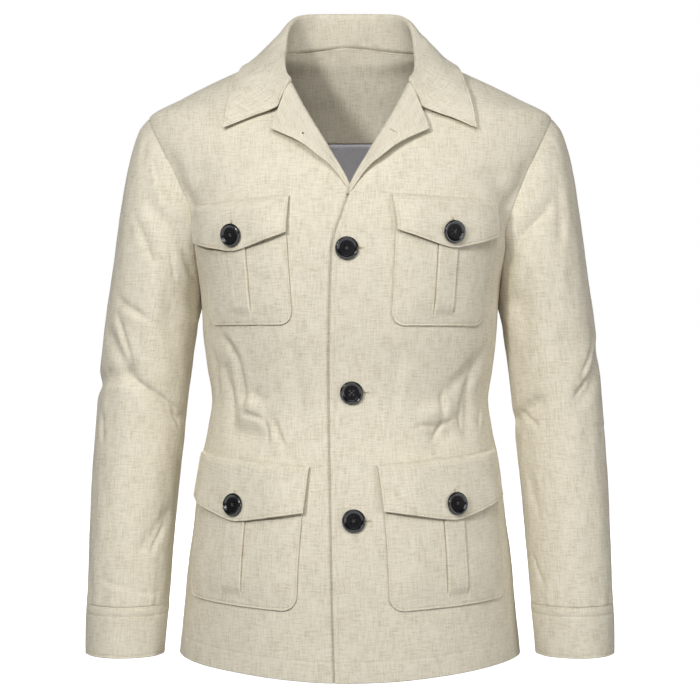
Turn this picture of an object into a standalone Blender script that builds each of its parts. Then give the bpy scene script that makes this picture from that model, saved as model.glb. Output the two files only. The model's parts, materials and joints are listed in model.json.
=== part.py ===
"""A single-breasted linen jacket with four patch pockets, hollow as it is worn.

Sizes are in millimetres and become metres in one place, where points are put on a mesh.
+Z is up, the front faces -Y and the wearer's left is +X.  The origin lies between the neck
ends of the two shoulder seams, where the wearer's shoulders hold the jacket up.
"""

import math
from collections import namedtuple

import bmesh
import bpy
import numpy as np
from mathutils import Vector

MM = 0.001

# Cloth
CLOTH = 1.5             # wall of one layer of linen with what is pressed behind it
DOUBLE_CLOTH = 2.2      # turned and faced pieces: collar, lapels, flaps and cuffs
SEAM = 0.3              # between pieces that are sewn edge to edge
LAID = 0.9              # between a panel and a piece that lies on it

# Heights of the body, from the neck ends of the shoulder seams
HEM = -701.0            # at the side seams and across the back
FRONT_DIP = 14.0        # how much lower the hem hangs at centre front
UNDERARM = -296.0
SHOULDER_TIP = -76.0
NAPE = 18.0
GORGE = -43.0           # where the collar's fold line meets the roll line of the lapel

# Overlap at centre front, the wearer's left over the right
TUCK = 2.6              # how far the right front lies behind the left one there
TUCK_START = 31.0       # from the left front's edge to where the right front starts to go in
TUCK_RAMP = 22.0        # width over which it goes in
TUCK_TOP = -148.0       # height above which the two fronts no longer overlap
TUCK_FADE = 24.0        # height over which the overlap comes to an end

# Collar fold, lapel roll, back facing and lining
FOLD_RADIUS = 2.4
COLLAR_INWARDS = 0.4    # from the neck seam to the middle of the collar's lower edge
COLLAR_RISE = 0.9
FACING_BOTTOM = -89.0
LINING_BOTTOM = -262.0
LINING_CLOTH = 1.2
INSIDE = 2.8            # between the back and what is sewn inside it

# Buttons
BUTTON_SHANK = 1.0      # thread between a button and its cloth
BUTTON_THICKNESS = 4.0
FRONT_BUTTON_RADIUS = 13.0
POCKET_BUTTON_RADIUS = 12.2

# Pockets
PLEAT_RISE = 1.6        # how far the box pleat stands off its pocket
FLAP_RISE_LENGTH = 7.0  # how far below its seam a flap clears the pocket beneath it
POCKET_TOP = 10.0       # the pocket's mouth, below the flap's seam


class SmoothTable:
    """Rows of named numbers, read between the rows by a curve that never overshoots them."""

    def __init__(self, columns, rows):
        self.entry = namedtuple("Entry", columns)
        self.values = np.array(sorted(rows), float)
        self.keys = self.values[:, 0]
        rises = np.diff(self.values, axis=0) / np.diff(self.keys)[:, None]
        before, after = rises[:-1], rises[1:]
        total = before + after
        mean = 2 * before * after / np.where(total == 0, 1, total)
        inside = np.where(before * after > 0, mean, 0)
        self.slopes = np.vstack([rises[:1], inside, rises[-1:]])

    def at(self, key):
        i = int(np.clip(np.searchsorted(self.keys, key) - 1, 0, len(self.keys) - 2))
        step = self.keys[i + 1] - self.keys[i]
        t = min(max((key - self.keys[i]) / step, 0), 1)
        ends = self.values[i] * (1 + 2 * t) * (1 - t) ** 2 + self.values[i + 1] * t * t * (3 - 2 * t)
        bend = self.slopes[i] * t * (1 - t) ** 2 - self.slopes[i + 1] * t * t * (1 - t)
        return self.entry(*(ends + step * bend))


# Level sections of the body, from hem to nape; above the underarm the armholes cut into them
RINGS = SmoothTable("height half_width front_depth back_depth front_fullness back_fullness", [
    (-725, 202, 152, 142, 2.2, 2.2),
    (-660, 195.5, 151, 140, 2.2, 2.2),
    (-600, 190, 150, 138, 2.2, 2.2),
    (-540, 182, 146, 134, 2.2, 2.2),
    (-480, 175, 138, 124, 2.2, 2.2),
    (-440, 167, 131, 116, 2.2, 2.2),
    (-405, 162, 128, 112, 2.2, 2.2),
    (-370, 167, 131, 115, 2.2, 2.2),
    (-330, 172, 137, 123, 2.25, 2.2),
    (-300, 173.5, 140, 129, 2.3, 2.25),
    (-275, 176, 142, 133, 2.3, 2.25),
    (-245, 184, 143, 137, 2.3, 2.3),
    (-215, 196, 143, 140, 2.25, 2.3),
    (-190, 208, 140, 141, 2.2, 2.3),
    (-165, 220, 135, 140, 2.2, 2.3),
    (-142, 230, 128, 137, 2.15, 2.25),
    (-120, 238, 119, 132, 2.1, 2.2),
    (-100, 241, 109, 125, 2.1, 2.15),
    (-76, 237, 95, 114, 2.05, 2.1),
    (-53, 199, 79, 102, 2, 2.05),
    (-35, 163, 66, 91, 2, 2),
    (-15, 119, 50, 80, 2, 2),
    (0, 84, 38, 72, 2, 2),
    (20, 77, 34, 66, 2, 2),
])

# Front edge of the wearer's left front, then the roll line of its lapel, then the neck seam
FRONT_EDGE = SmoothTable("height x", [
    (-725, -16), (-620, -19), (-500, -21), (-373, -23), (-270, -21), (-240, -19.5), (-223, -17),
    (-200, -9.5), (-168, 2), (-136, 19), (-106, 37), (-86, 48), (-73, 56), (-53, 66.5), (GORGE, 70.5),
    (-25, 76.5), (-10, 80.5), (0, 84),
])

UNDERARM_X = RINGS.at(UNDERARM).half_width
SHOULDER_TIP_X = RINGS.at(SHOULDER_TIP).half_width

# Armhole seams in the view from the front, on the front and on the back
ARMHOLE = SmoothTable("height front_x back_x", [
    (UNDERARM, UNDERARM_X, UNDERARM_X), (-275, 175, 176), (-245, 177.5, 181), (-215, 181, 189), (-190, 187, 197),
    (-165, 196, 206), (-142, 205, 214), (-120, 215, 222), (-100, 225, 229), (-88, 231, 233),
    (SHOULDER_TIP, SHOULDER_TIP_X, SHOULDER_TIP_X),
])

# Sections of a sleeve from the armhole to the cuff seam
SLEEVE = SmoothTable("share outer_x outer_z inner_x inner_z middle_y half_depth", [
    (0.00, SHOULDER_TIP_X, SHOULDER_TIP, UNDERARM_X, UNDERARM, -3, 66),
    (0.03, 247.5, -89, 175.2, -302, -3, 68),
    (0.07, 255, -110, 176.8, -307, -3, 70),
    (0.13, 263, -145, 178.2, -313, -2, 71),
    (0.22, 270.5, -195, 179.5, -322, -1, 71),
    (0.33, 279.5, -257, 183, -343, 0, 69),
    (0.45, 288.5, -325, 187.5, -379, -1, 65),
    (0.58, 296, -400, 192.5, -425, -4, 61),
    (0.72, 300.5, -480, 198.5, -490, -14, 57),
    (0.86, 303, -560, 204.5, -562, -28, 53),
    (1.00, 304, -639, 209.5, -639, -41, 49),
])
ARMHOLE_GAP = 0.4       # between the armhole's edges and the sleeve
ARMHOLE_BLEND = 0.25    # share of the sleeve over which the armhole's shape turns into a plain section
SLEEVE_LENGTH = 575.0   # along its outer side, to place folds
SLEEVE_ROWS = (0, 0.03, 0.07, 0.12, 0.19, 0.27, 0.35, 0.42, 0.47, 0.505, 0.535, 0.565, 0.6, 0.65,
               0.73, 0.8, 0.85, 0.92, 1)

# Cuff, below the sleeve
CUFF = SmoothTable("share outer_x outer_z inner_x inner_z middle_y half_depth", [
    (0.0, 304.6, -639.4, 208.9, -639.4, -41, 49.6),
    (1.0, 304.8, -697, 213.6, -697, -46.5, 47),
])

# Collar from centre back to its front end: its fold line, the middle of its fall, its outer edge
COLLAR = SmoothTable("share fold_x fold_y fold_z belly_x belly_y belly_z edge_x edge_y edge_z", [
    (0.000, 0, 62, 58.5, 0, 77, 36, 0, 81, 8),
    (0.125, 31, 57, 57.5, 36, 71, 34, 36, 77, 5),
    (0.250, 56, 41, 53.5, 66, 55, 29, 71, 62, -1),
    (0.375, 69, 20, 44, 87, 31, 20, 99, 38, -8),
    (0.500, 75, 0, 28, 98, 4, 10, 116, 8, -9),
    (0.560, 76.5, -15, 11, 101, -12, 1, 121, -10, -13),
    (0.625, 77, -28, -2, 104, -30, -9, 126, -29, -19),
    (0.750, 76.3, -43, -15, 106, -58, -28, 133, -58, -42),
    (0.875, 73.5, -58, -29, 101, -81, -53, 139.5, -82, -70),
    (1.000, 67.5, -71.5, -38.5, 83.2, -96.5, -73, 144, -96, -98),
])

# Lapel from the gorge down: its roll line and its free edge, in the view from the front
LAPEL = SmoothTable("share roll_x roll_z edge_x edge_z", [
    (0.000, 70.5, -43.5, 89, -102.5),
    (0.150, 62, -61, 75, -109.5),
    (0.300, 53, -77.5, 61, -116.5),
    (0.450, 44, -94, 50, -123.5),
    (0.600, 34, -111, 40, -131.5),
    (0.750, 23.5, -128.5, 28, -142),
    (0.900, 10.5, -151, 15.5, -157.5),
    (1.000, -1, -175, 4, -176),
])

# Section of the lapel's turned cloth: share of the way to its edge, shift past the roll line, lift
LapelStop = namedtuple("LapelStop", "reach shift lift")
LAPEL_SECTION = [
    LapelStop(0.0, 1.4, -0.6),
    LapelStop(0.0, 3.2, 1.3),
    LapelStop(0.0, 1.0, 3.6),
    LapelStop(0.35, 0.0, 4.6),
    LapelStop(0.7, 0.0, 5.6),
    LapelStop(1.0, 0.0, 6.0),
]
LapelEnds = namedtuple("LapelEnds", "side last_share")
LAPEL_ENDS = {"lapel_left": LapelEnds(1, 1.0), "lapel_right": LapelEnds(-1, 0.9)}

# Patch pockets with their flaps: the rises are height gained per millimetre outwards, at the flap's
# seam and at the pocket's lower edge, and the lean is how far the flap swings out per millimetre down
Pocket = namedtuple("Pocket", "name side centre_angle top half_width flap_side flap_point depth corner "
                              "pleat_half rise low_rise lean")
POCKETS = [
    Pocket("chest", 1, 41.0, -177.0, 63.0, 40.0, 57.0, 144.0, 16.0, 11.0, -0.04, 0.0, 0.08),
    Pocket("chest", -1, 47.5, -181.0, 63.0, 40.0, 56.0, 139.0, 16.0, 11.0, -0.07, 0.0, 0.03),
    Pocket("hip", 1, 43.8, -469.0, 83.0, 52.0, 69.0, 164.0, 18.0, 12.0, 0.08, 0.05, 0.02),
    Pocket("hip", -1, 48.5, -471.0, 82.0, 52.0, 69.0, 162.0, 18.0, 12.0, 0.08, 0.05, 0.0),
]

# Front buttons on the wearer's left front
Button = namedtuple("Button", "angle height")
FRONT_BUTTONS = [Button(-1.4, -235.5), Button(0.8, -395.5), Button(1.6, -536.5)]

# The largest folds of the body: soft ridges, or troughs where the depth is negative
Fold = namedtuple("Fold", "start_angle start_height end_angle end_height width depth")
BODY_FOLDS = [
    Fold(-63, -372, -58, -440, 11, -4.0),
    Fold(-46, -405, -38, -432, 9, -2.5),
    Fold(61, -376, 57, -442, 11, -4.0),
    Fold(52, -424, 40, -436, 9, -2.5),
    Fold(-118, -370, -124, -442, 12, -4.5),
    Fold(120, -366, 126, -445, 12, -4.5),
    Fold(-150, -392, -160, -420, 12, -3.0),
    Fold(152, -400, 162, -430, 12, -3.0),
    Fold(-62, -150, -72, -212, 12, -4.0),
    Fold(60, -150, 70, -212, 12, -4.0),
]
ROUND_PER_DEGREE = 2.8  # millimetres round the body for one degree, to measure how near a fold is

# The largest folds of the sleeves; turn is 0 on the outer side, 90 in front and 180 under the arm
SleeveFold = namedtuple("SleeveFold", "side start_turn start_share end_turn end_share width depth")
SLEEVE_FOLDS = [
    SleeveFold(-1, 0, 0.565, 75, 0.515, 10, -4.5),
    SleeveFold(-1, 75, 0.515, 152, 0.585, 10, -4.5),
    SleeveFold(-1, 40, 0.455, 75, 0.495, 10, -3.5),
    SleeveFold(-1, 113, 0.880, 150, 0.810, 10, -3.0),
    SleeveFold(-1, 200, 0.600, 250, 0.560, 12, -4.0),
    SleeveFold(1, 70, 0.105, 122, 0.040, 11, -4.0),
    SleeveFold(1, 10, 0.495, 62, 0.570, 11, -4.5),
    SleeveFold(1, 125, 0.555, 165, 0.590, 11, -5.0),
    SleeveFold(1, 195, 0.600, 250, 0.570, 12, -4.0),
    SleeveFold(-1, 70, 0.110, 122, 0.045, 11, -3.5),
]
ROUND_PER_TURN_DEGREE = 0.95

Finish = namedtuple("Finish", "name colour roughness")
LINEN = Finish("linen", (0.72, 0.67, 0.54, 1), 0.85)
LINING = Finish("lining", (0.42, 0.41, 0.42, 1), 0.6)
HORN = Finish("button_horn", (0.012, 0.012, 0.013, 1), 0.3)


def blend(start, end, share):
    return start + (end - start) * share


def ease(share):
    """A smooth step from 0 to 1."""
    share = min(max(share, 0.0), 1.0)
    return share * share * (3 - 2 * share)


def fold_height(place, start, end, width, depth):
    """How far a soft fold along a line moves the cloth out at a place near it."""
    place, start, end = np.array(place), np.array(start), np.array(end)
    line = end - start
    share = np.clip(np.dot(place - start, line) / np.dot(line, line), 0, 1)
    away = np.linalg.norm(place - start - line * share)
    return depth * math.exp(-(away / width) ** 2)


def unit(vector):
    return vector / np.linalg.norm(vector)


def normal_of(surface, u, v, step):
    along_u = surface(u + step, v) - surface(u - step, v)
    along_v = surface(u, v + step) - surface(u, v - step)
    return unit(np.cross(along_u, along_v))


def lifted(surface, u, v, lift, step):
    """A point moved off a surface along its normal."""
    return surface(u, v) + normal_of(surface, u, v, step) * lift


# The body's surface, by the angle from centre front towards the wearer's left and the height

def torso(angle, height):
    ring = RINGS.at(height)
    forward, sideways = math.cos(math.radians(angle)), math.sin(math.radians(angle))
    depth, fullness = ring.front_depth, ring.front_fullness
    if forward < 0:
        depth, fullness = ring.back_depth, ring.back_fullness
    spread = (abs(forward) / depth) ** fullness + (abs(sideways) / ring.half_width) ** fullness
    reach = spread ** (-1 / fullness)
    return np.array((reach * sideways, -reach * forward, height))


def body_folds(angle, height):
    place = (angle * ROUND_PER_DEGREE, height)
    total = 0.0
    for fold in BODY_FOLDS:
        start = (fold.start_angle * ROUND_PER_DEGREE, fold.start_height)
        end = (fold.end_angle * ROUND_PER_DEGREE, fold.end_height)
        total += fold_height(place, start, end, fold.width, fold.depth)
    return total


def skin(angle, height, lift=0.0):
    """A point of the folded body, or one at a lift above it."""
    turned = (angle + 180) % 360 - 180
    return lifted(torso, angle, height, lift + body_folds(turned, height), 0.5)


def angle_at(x, height, back=False):
    """The angle at which the body is x from the middle, in front or at the back."""
    ring = RINGS.at(height)
    depth, fullness = ring.front_depth, ring.front_fullness
    if back:
        depth, fullness = ring.back_depth, ring.back_fullness
    share = min(abs(x) / ring.half_width, 1.0)
    y = depth * (1 - share ** fullness) ** (1 / fullness)
    angle = math.degrees(math.atan2(x, y))
    return 180 - angle if back else angle


def walk(angle, height, distance):
    """The angle reached by going a distance round the body at one height."""
    steps = 8
    for _ in range(steps):
        per_degree = np.linalg.norm(torso(angle + 0.5, height) - torso(angle - 0.5, height))
        angle += distance / steps / per_degree
    return angle


def seam_angle(height):
    """Half the gap between front and back at the side and shoulder seams, as an angle."""
    return math.degrees(SEAM / 2 / RINGS.at(height).half_width)


# Cut of the front and back panels, as places (angle, height) on the body

LOWER_ROWS, UPPER_ROWS = 16, 12     # rows of a panel below and above the underarm
UNDERARM_SHARE = LOWER_ROWS / (LOWER_ROWS + UPPER_ROWS)
NECK_SHARE = 0.4        # share of half the back's top edge that is neck, the rest is shoulder


def armhole_height(share):
    """Heights up the armhole, closest together at its two ends."""
    middle, half = (UNDERARM + SHOULDER_TIP) / 2, (SHOULDER_TIP - UNDERARM) / 2
    return middle - half * math.cos(math.pi * share)


def coons(inner, outer, bottom, top, across, up):
    """A place inside four edges, each a function of its share."""
    sides = blend(inner(up), outer(up), across) + blend(bottom(across), top(across), up)
    corners = blend(blend(inner(0), outer(0), across), blend(inner(1), outer(1), across), up)
    return sides - corners


def hem_height(angle):
    return HEM - FRONT_DIP * max(math.cos(math.radians(angle)), 0) ** 2


def below_underarm(inner_angle, outer_angle, across, up):
    """Rows from the hem, which dips in front, to the level underarm row."""
    flat = blend(HEM, UNDERARM, up)
    angle = blend(inner_angle(flat), outer_angle(flat), across)
    return np.array((angle, blend(hem_height(angle), UNDERARM, up)))


def front_edge_angle(height):
    return min(angle_at(FRONT_EDGE.at(height).x, height), 90 - seam_angle(height))


def front_place(across, along):
    """Wearer's left front: across from the front edge to the side, along from the hem up."""
    side_angle = lambda height: 90 - seam_angle(height)
    if along <= UNDERARM_SHARE:
        return below_underarm(front_edge_angle, side_angle, across, along / UNDERARM_SHARE)

    def inner(up):
        height = blend(UNDERARM, 0, up)
        return np.array((front_edge_angle(height), height))

    def outer(up):
        height = armhole_height(up)
        angle = angle_at(ARMHOLE.at(height).front_x, height)
        return np.array((min(angle, side_angle(height)), height))

    def bottom(share):
        return np.array((blend(front_edge_angle(UNDERARM), side_angle(UNDERARM), share), UNDERARM))

    def top(share):
        height = blend(0, SHOULDER_TIP, share)
        return np.array((side_angle(height), height))

    return coons(inner, outer, bottom, top, across, (along - UNDERARM_SHARE) / (1 - UNDERARM_SHARE))


def back_neck(share):
    """The back's neck seam, from centre back to the shoulder."""
    height = blend(NAPE, 0, share)
    return np.array((blend(180, 90 + seam_angle(height), share), height))


def half_back_place(across, along):
    """Half of the back: across from centre back to the wearer's left side, along from the hem up."""
    side_angle = lambda height: 90 + seam_angle(height)
    if along <= UNDERARM_SHARE:
        return below_underarm(lambda height: 180, side_angle, across, along / UNDERARM_SHARE)

    def inner(up):
        return np.array((180, blend(UNDERARM, NAPE, up)))

    def outer(up):
        height = armhole_height(up)
        angle = angle_at(ARMHOLE.at(height).back_x, height, back=True)
        return np.array((max(angle, side_angle(height)), height))

    def bottom(share):
        return np.array((blend(180, side_angle(UNDERARM), share), UNDERARM))

    def top(share):
        if share <= NECK_SHARE:
            return back_neck(share / NECK_SHARE)
        height = blend(0, SHOULDER_TIP, (share - NECK_SHARE) / (1 - NECK_SHARE))
        return np.array((side_angle(height), height))

    return coons(inner, outer, bottom, top, across, (along - UNDERARM_SHARE) / (1 - UNDERARM_SHARE))


def tuck(angle, height):
    """How far the right front goes in, where the left front lies over it."""
    x = torso(angle, height)[0]
    over = (x - FRONT_EDGE.at(height).x + TUCK_START) / TUCK_RAMP
    return TUCK * ease(over) * ease((TUCK_TOP - height) / TUCK_FADE)


# Walls

def new_object(name, body, finish):
    """A mesh object with its own material, smooth but for its cut edges."""
    bmesh.ops.recalc_face_normals(body, faces=body.faces)
    mesh = bpy.data.meshes.new(name)
    body.to_mesh(mesh)
    body.free()
    mesh.shade_smooth()
    mesh.set_sharp_from_angle(angle=math.radians(40))
    piece = bpy.data.objects.new(name, mesh)
    bpy.context.scene.collection.objects.link(piece)
    piece.parent = JACKET
    mesh.materials.append(new_material(name, finish))
    return piece


def new_material(name, finish):
    material = bpy.data.materials.new(f"{name}_{finish.name}")
    material.use_nodes = True
    shader = material.node_tree.nodes["Principled BSDF"]
    shader.inputs["Base Color"].default_value = finish.colour
    shader.inputs["Roughness"].default_value = finish.roughness
    shader.inputs["Metallic"].default_value = 0
    material.diffuse_color = finish.colour
    return material


def wall(name, columns, rows, outer, inner, finish=LINEN, tube=False):
    """A closed cloth wall: an outer and an inner sheet on one grid, joined round their edges.

    outer and inner give a point for the shares across and along the grid.  A tube's last
    column is joined to its first.
    """
    body = bmesh.new()
    ends = {0: [], 1: []}
    for face_of in (outer, inner):
        sheet = bmesh.ops.create_grid(body, x_segments=columns, y_segments=rows, size=0.5)["verts"]
        for vertex in sheet:
            across, along = vertex.co.x + 0.5, vertex.co.y + 0.5
            vertex.co = Vector(face_of(across, along)) * MM
            if along in ends:
                ends[along].append(vertex)
    bmesh.ops.remove_doubles(body, verts=body.verts, dist=1e-7)
    if tube:
        for vertices in ends.values():
            rim = {vertex for vertex in vertices if vertex.is_valid}
            edges = [edge for edge in body.edges if edge.is_boundary and set(edge.verts) <= rim]
            bmesh.ops.bridge_loops(body, edges=edges)
    else:
        bmesh.ops.bridge_loops(body, edges=[edge for edge in body.edges if edge.is_boundary])
    return new_object(name, body, finish)


def lifted_wall(name, columns, rows, surface, middle_lift, thickness, finish=LINEN, tube=False):
    """A wall whose middle lies at a lift over a surface that is given by two shares."""
    step = 0.002

    def face_at(lift):
        return lambda across, along: lifted(surface, across, along, lift, step)

    half = thickness / 2
    return wall(name, columns, rows, face_at(middle_lift + half), face_at(middle_lift - half), finish, tube)


# Pieces

def make_fronts():
    columns, rows = 14, LOWER_ROWS + UPPER_ROWS
    for name, side in (("front_left", 1), ("front_right", -1)):
        def sheet_at(lift, side=side):
            def point(across, along):
                angle, height = front_place(across, along)
                inset = tuck(-angle, height) if side < 0 else 0
                return skin(side * angle, height, lift - inset)
            return point
        wall(name, columns, rows, sheet_at(0), sheet_at(-CLOTH))


def make_back():
    columns, rows = 22, LOWER_ROWS + UPPER_ROWS

    def sheet_at(lift):
        def point(across, along):
            half = 2 * across - 1
            angle, height = half_back_place(abs(half), along)
            return skin(math.copysign(angle, half), height, lift)
        return point

    wall("back", columns, rows, sheet_at(0), sheet_at(-CLOTH))


def make_back_facing_and_lining():
    """The facing inside the back neck, and the lining that is sewn below it."""
    top_share = 0.62        # how far the facing follows the neck seam towards the shoulder
    facing_half, lining_half = 100.0, 128.0
    lift = -CLOTH - INSIDE

    def facing_place(across, along):
        half = 2 * across - 1
        neck_angle, neck_height = back_neck(abs(half) * top_share)
        low_angle = angle_at(abs(half) * facing_half, FACING_BOTTOM, back=True)
        height = blend(neck_height - 2.0, FACING_BOTTOM, 1 - along)
        return math.copysign(blend(neck_angle, low_angle, ease(1 - along)), half), height

    def lining_place(across, along):
        half = 2 * across - 1
        height = blend(LINING_BOTTOM, FACING_BOTTOM - SEAM - 0.2, along)
        return math.copysign(angle_at(abs(half) * lining_half, height, back=True), half), height

    for name, place, columns, rows, finish in (
            ("back_neck_facing", facing_place, 14, 6, LINEN),
            ("back_lining", lining_place, 12, 9, LINING)):
        def sheet_at(depth, place=place):
            return lambda across, along: skin(*place(across, along), lift - depth)
        wall(name, columns, rows, sheet_at(0), sheet_at(LINING_CLOTH), finish)


def armhole_point(side, turn, lift=0.0):
    """The armhole seam, from the shoulder (0) by the front (90) to the underarm (180) and the back."""
    share_up = abs(180 - turn) / 180
    height = armhole_height(share_up)
    row = ARMHOLE.at(height)
    if turn <= 180:
        angle = angle_at(row.front_x, height)
    else:
        angle = angle_at(row.back_x, height, back=True)
    point = skin(side * angle, height, lift)
    point[0] += side * ARMHOLE_GAP
    return point


def tube_section(row, turn):
    """A point of a sleeve's or cuff's section: an ellipse between its outer and inner side."""
    outer = np.array((row.outer_x, 0, row.outer_z))
    inner = np.array((row.inner_x, 0, row.inner_z))
    around = math.radians(turn)
    point = (outer + inner) / 2 + (outer - inner) / 2 * math.cos(around)
    return point + np.array((0, row.middle_y - row.half_depth * math.sin(around), 0))


def sleeve_folds(side, turn, share):
    total = 0.0
    place = (turn * ROUND_PER_TURN_DEGREE, share * SLEEVE_LENGTH)
    for fold in SLEEVE_FOLDS:
        if fold.side == side:
            start = (fold.start_turn * ROUND_PER_TURN_DEGREE, fold.start_share * SLEEVE_LENGTH)
            end = (fold.end_turn * ROUND_PER_TURN_DEGREE, fold.end_share * SLEEVE_LENGTH)
            total += fold_height(place, start, end, fold.width, fold.depth)
    return total


def mirrored(side, point):
    return np.array((side * point[0], point[1], point[2]))


def sleeve_point(side, turn, share, lift=0.0):
    """A point of a sleeve, or one at a lift above it; over the shoulder its end faces the body's edge."""
    def plain(around, share):
        turn = around * 360
        start, section = (mirrored(side, tube_section(SLEEVE.at(place), turn)) for place in (0, share))
        return section + (armhole_point(side, turn % 360) - start) * (1 - ease(share / ARMHOLE_BLEND))

    around = turn / 360
    outwards = side * normal_of(plain, around, max(share, 0.01), 0.002)
    if share == 0:
        on_top = ease((math.cos(math.radians(turn)) + 0.2) / 0.8)
        body_outwards = armhole_point(side, turn, 1.0) - armhole_point(side, turn)
        outwards = unit(blend(outwards, body_outwards, on_top))
    return plain(around, share) + outwards * (lift + sleeve_folds(side, turn, share))


def cuff_point(side, turn, share, lift=0.0):
    plain = lambda u, v: mirrored(side, tube_section(CUFF.at(v), u * 360))
    return lifted(plain, turn / 360, share, side * lift, 0.002)


def make_sleeves():
    around = 2 * UPPER_ROWS
    cuff_rows = (0, 0.5, 1)
    for name, point_of, rows, thickness in (
            ("sleeve", sleeve_point, SLEEVE_ROWS, CLOTH), ("cuff", cuff_point, cuff_rows, DOUBLE_CLOTH)):
        for side_name, side in (("left", 1), ("right", -1)):
            def sheet_at(lift, side=side):
                def point(turned, along):
                    row = round(along * (len(rows) - 1))
                    return point_of(side, 360 * turned % 360, rows[row], lift)
                return point
            wall(f"{name}_{side_name}", around, len(rows) - 1, sheet_at(0), sheet_at(-thickness), tube=True)


def neck_seam(share):
    """The neck seam from centre back by the shoulder to the gorge, where the collar is sewn on."""
    if share <= 0.5:
        return skin(*back_neck(2 * share))
    height = blend(0, GORGE + 2.0, 2 * share - 1)
    return skin(front_edge_angle(height), height)


def half_collar(share, along):
    """The collar from its neck seam over the fold to its outer edge, on the wearer's left."""
    row = COLLAR.at(share)
    seam = neck_seam(share) + np.array((-COLLAR_INWARDS, 0, COLLAR_RISE))
    fold = np.array((row.fold_x, row.fold_y, row.fold_z))
    belly = np.array((row.belly_x, row.belly_y, row.belly_z))
    edge = np.array((row.edge_x, row.edge_y, row.edge_z))
    outwards = unit((belly - fold) * np.array((1, 1, 0)))
    down = np.array((0, 0, -1))
    radius = min(FOLD_RADIUS, 0.3 * np.linalg.norm(fold - seam))
    stand_top = fold + radius * (1.4 * down - 0.8 * outwards)
    fall_top = fold + FOLD_RADIUS * (0.5 * down + 1.2 * outwards)
    stops = [
        seam,
        blend(seam, stand_top, 0.5),
        stand_top,
        fold,
        fall_top,
        blend(fall_top, belly, 0.5) + outwards,
        belly,
        blend(belly, edge, 0.5),
        edge,
    ]
    places = np.linspace(0, 1, len(stops))
    return np.array([np.interp(along, places, column) for column in np.transpose(stops)])


def make_collar():
    columns, rows = 32, 8

    def surface(across, along):
        half = 2 * across - 1
        point = half_collar(abs(half), along)
        return np.array((math.copysign(point[0], half) if half else 0.0, point[1], point[2]))

    lifted_wall("collar", columns, rows, surface, 0, DOUBLE_CLOTH)


def make_lapels():
    rows = 15
    last = len(LAPEL_SECTION) - 1
    first_share = 0.006
    for name, ends in LAPEL_ENDS.items():
        def surface(across, along, ends=ends):
            share = blend(first_share, ends.last_share, along)
            row = LAPEL.at(share)
            place = np.clip(across, 0, 1) * last
            reach, shift, lift = (np.interp(place, range(last + 1), column)
                                  for column in zip(*LAPEL_SECTION))
            height = blend(row.roll_z, row.edge_z, reach)
            angle = walk(angle_at(blend(row.roll_x, row.edge_x, reach), height), height, -shift)
            return skin(ends.side * angle, height, lift)

        lifted_wall(name, last, rows, surface, 0, DOUBLE_CLOTH)


def pocket_place(pocket, across, down, lean=0.0):
    """A place on a front, across outwards from the pocket's middle and down from its flap's seam."""
    rise = blend(pocket.rise, pocket.low_rise, down / pocket.depth)
    height = pocket.top + rise * across - down
    return walk(pocket.centre_angle, height, across + lean * down), height


def make_pocket(pocket, name):
    """A patch with round lower corners and a box pleat down its middle."""
    low = pocket.depth - pocket.corner
    downs = [blend(POCKET_TOP, low, share) for share in (0, 0.25, 0.5, 0.75, 1)]
    downs += [low + pocket.corner * math.sin(math.radians(turn)) for turn in (35, 65, 90)]
    pleat = pocket.pleat_half
    half = pocket.half_width - 2.0
    beside = round((half - pocket.corner - pleat) / 16)
    outwards = [pleat, *np.linspace(pleat + 1.2, half - pocket.corner, beside + 1), half]
    acrosses = [-distance for distance in reversed(outwards)] + [0] + outwards
    columns, rows = len(acrosses) - 1, len(downs) - 1

    def sheet_at(lift, pleat_rise):
        def point(column, row):
            down = downs[round((1 - row) * rows)]
            into_corner = max(down - low, 0)
            inset = pocket.corner - math.sqrt(pocket.corner ** 2 - into_corner ** 2)
            across = acrosses[round(column * columns)]
            on_pleat = abs(across) <= pleat and down < pocket.depth
            across = min(max(across, inset - half), half - inset)
            angle, height = pocket_place(pocket, across, down)
            return skin(pocket.side * angle, height, lift + (pleat_rise if on_pleat else 0))
        return point

    wall(name, columns, rows, sheet_at(LAID + CLOTH, PLEAT_RISE), sheet_at(LAID, 0))


def flap_length(pocket, across):
    """How far a flap hangs at a place across it: longest at its point."""
    return blend(pocket.flap_point, pocket.flap_side, abs(across) / pocket.half_width)


def flap_lift(down):
    """How far a flap's underside stands off the front: it goes out over the pocket below its seam."""
    return blend(LAID, 2 * LAID + CLOTH + PLEAT_RISE + 0.4, ease(down / FLAP_RISE_LENGTH))


def make_flap(pocket, name):
    columns, rows = 10, 5

    def sheet_at(thickness):
        def point(column, row):
            across = blend(-pocket.half_width, pocket.half_width, column)
            down = np.interp(1 - row, (0, 1 / rows, 1), (0, FLAP_RISE_LENGTH, flap_length(pocket, across)))
            angle, height = pocket_place(pocket, across, down, pocket.lean)
            return skin(pocket.side * angle, height, flap_lift(down) + thickness)
        return point

    wall(name, columns, rows, sheet_at(DOUBLE_CLOTH), sheet_at(0))


def button_mesh(name, radius):
    """A turned button: a thread shank on a flat back, a raised rim and a dished face."""
    shank = (SEAM - BUTTON_SHANK) / BUTTON_THICKNESS
    profile = [(0, shank), (0.25, shank), (0.25, 0), (0.78, 0), (1, 0.35), (0.98, 0.75), (0.86, 1),
               (0.72, 0.86), (0.6, 0.6), (0, 0.55)]
    body = bmesh.new()
    points = [body.verts.new((share * radius * MM, 0, rise * BUTTON_THICKNESS * MM)) for share, rise in profile]
    edges = [body.edges.new(pair) for pair in zip(points, points[1:])]
    bmesh.ops.spin(body, geom=points + edges, axis=(0, 0, 1), cent=(0, 0, 0), angle=math.tau,
                   steps=16, use_merge=True)
    bmesh.ops.remove_doubles(body, verts=body.verts, dist=1e-6)
    return new_object(name, body, HORN)


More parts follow.
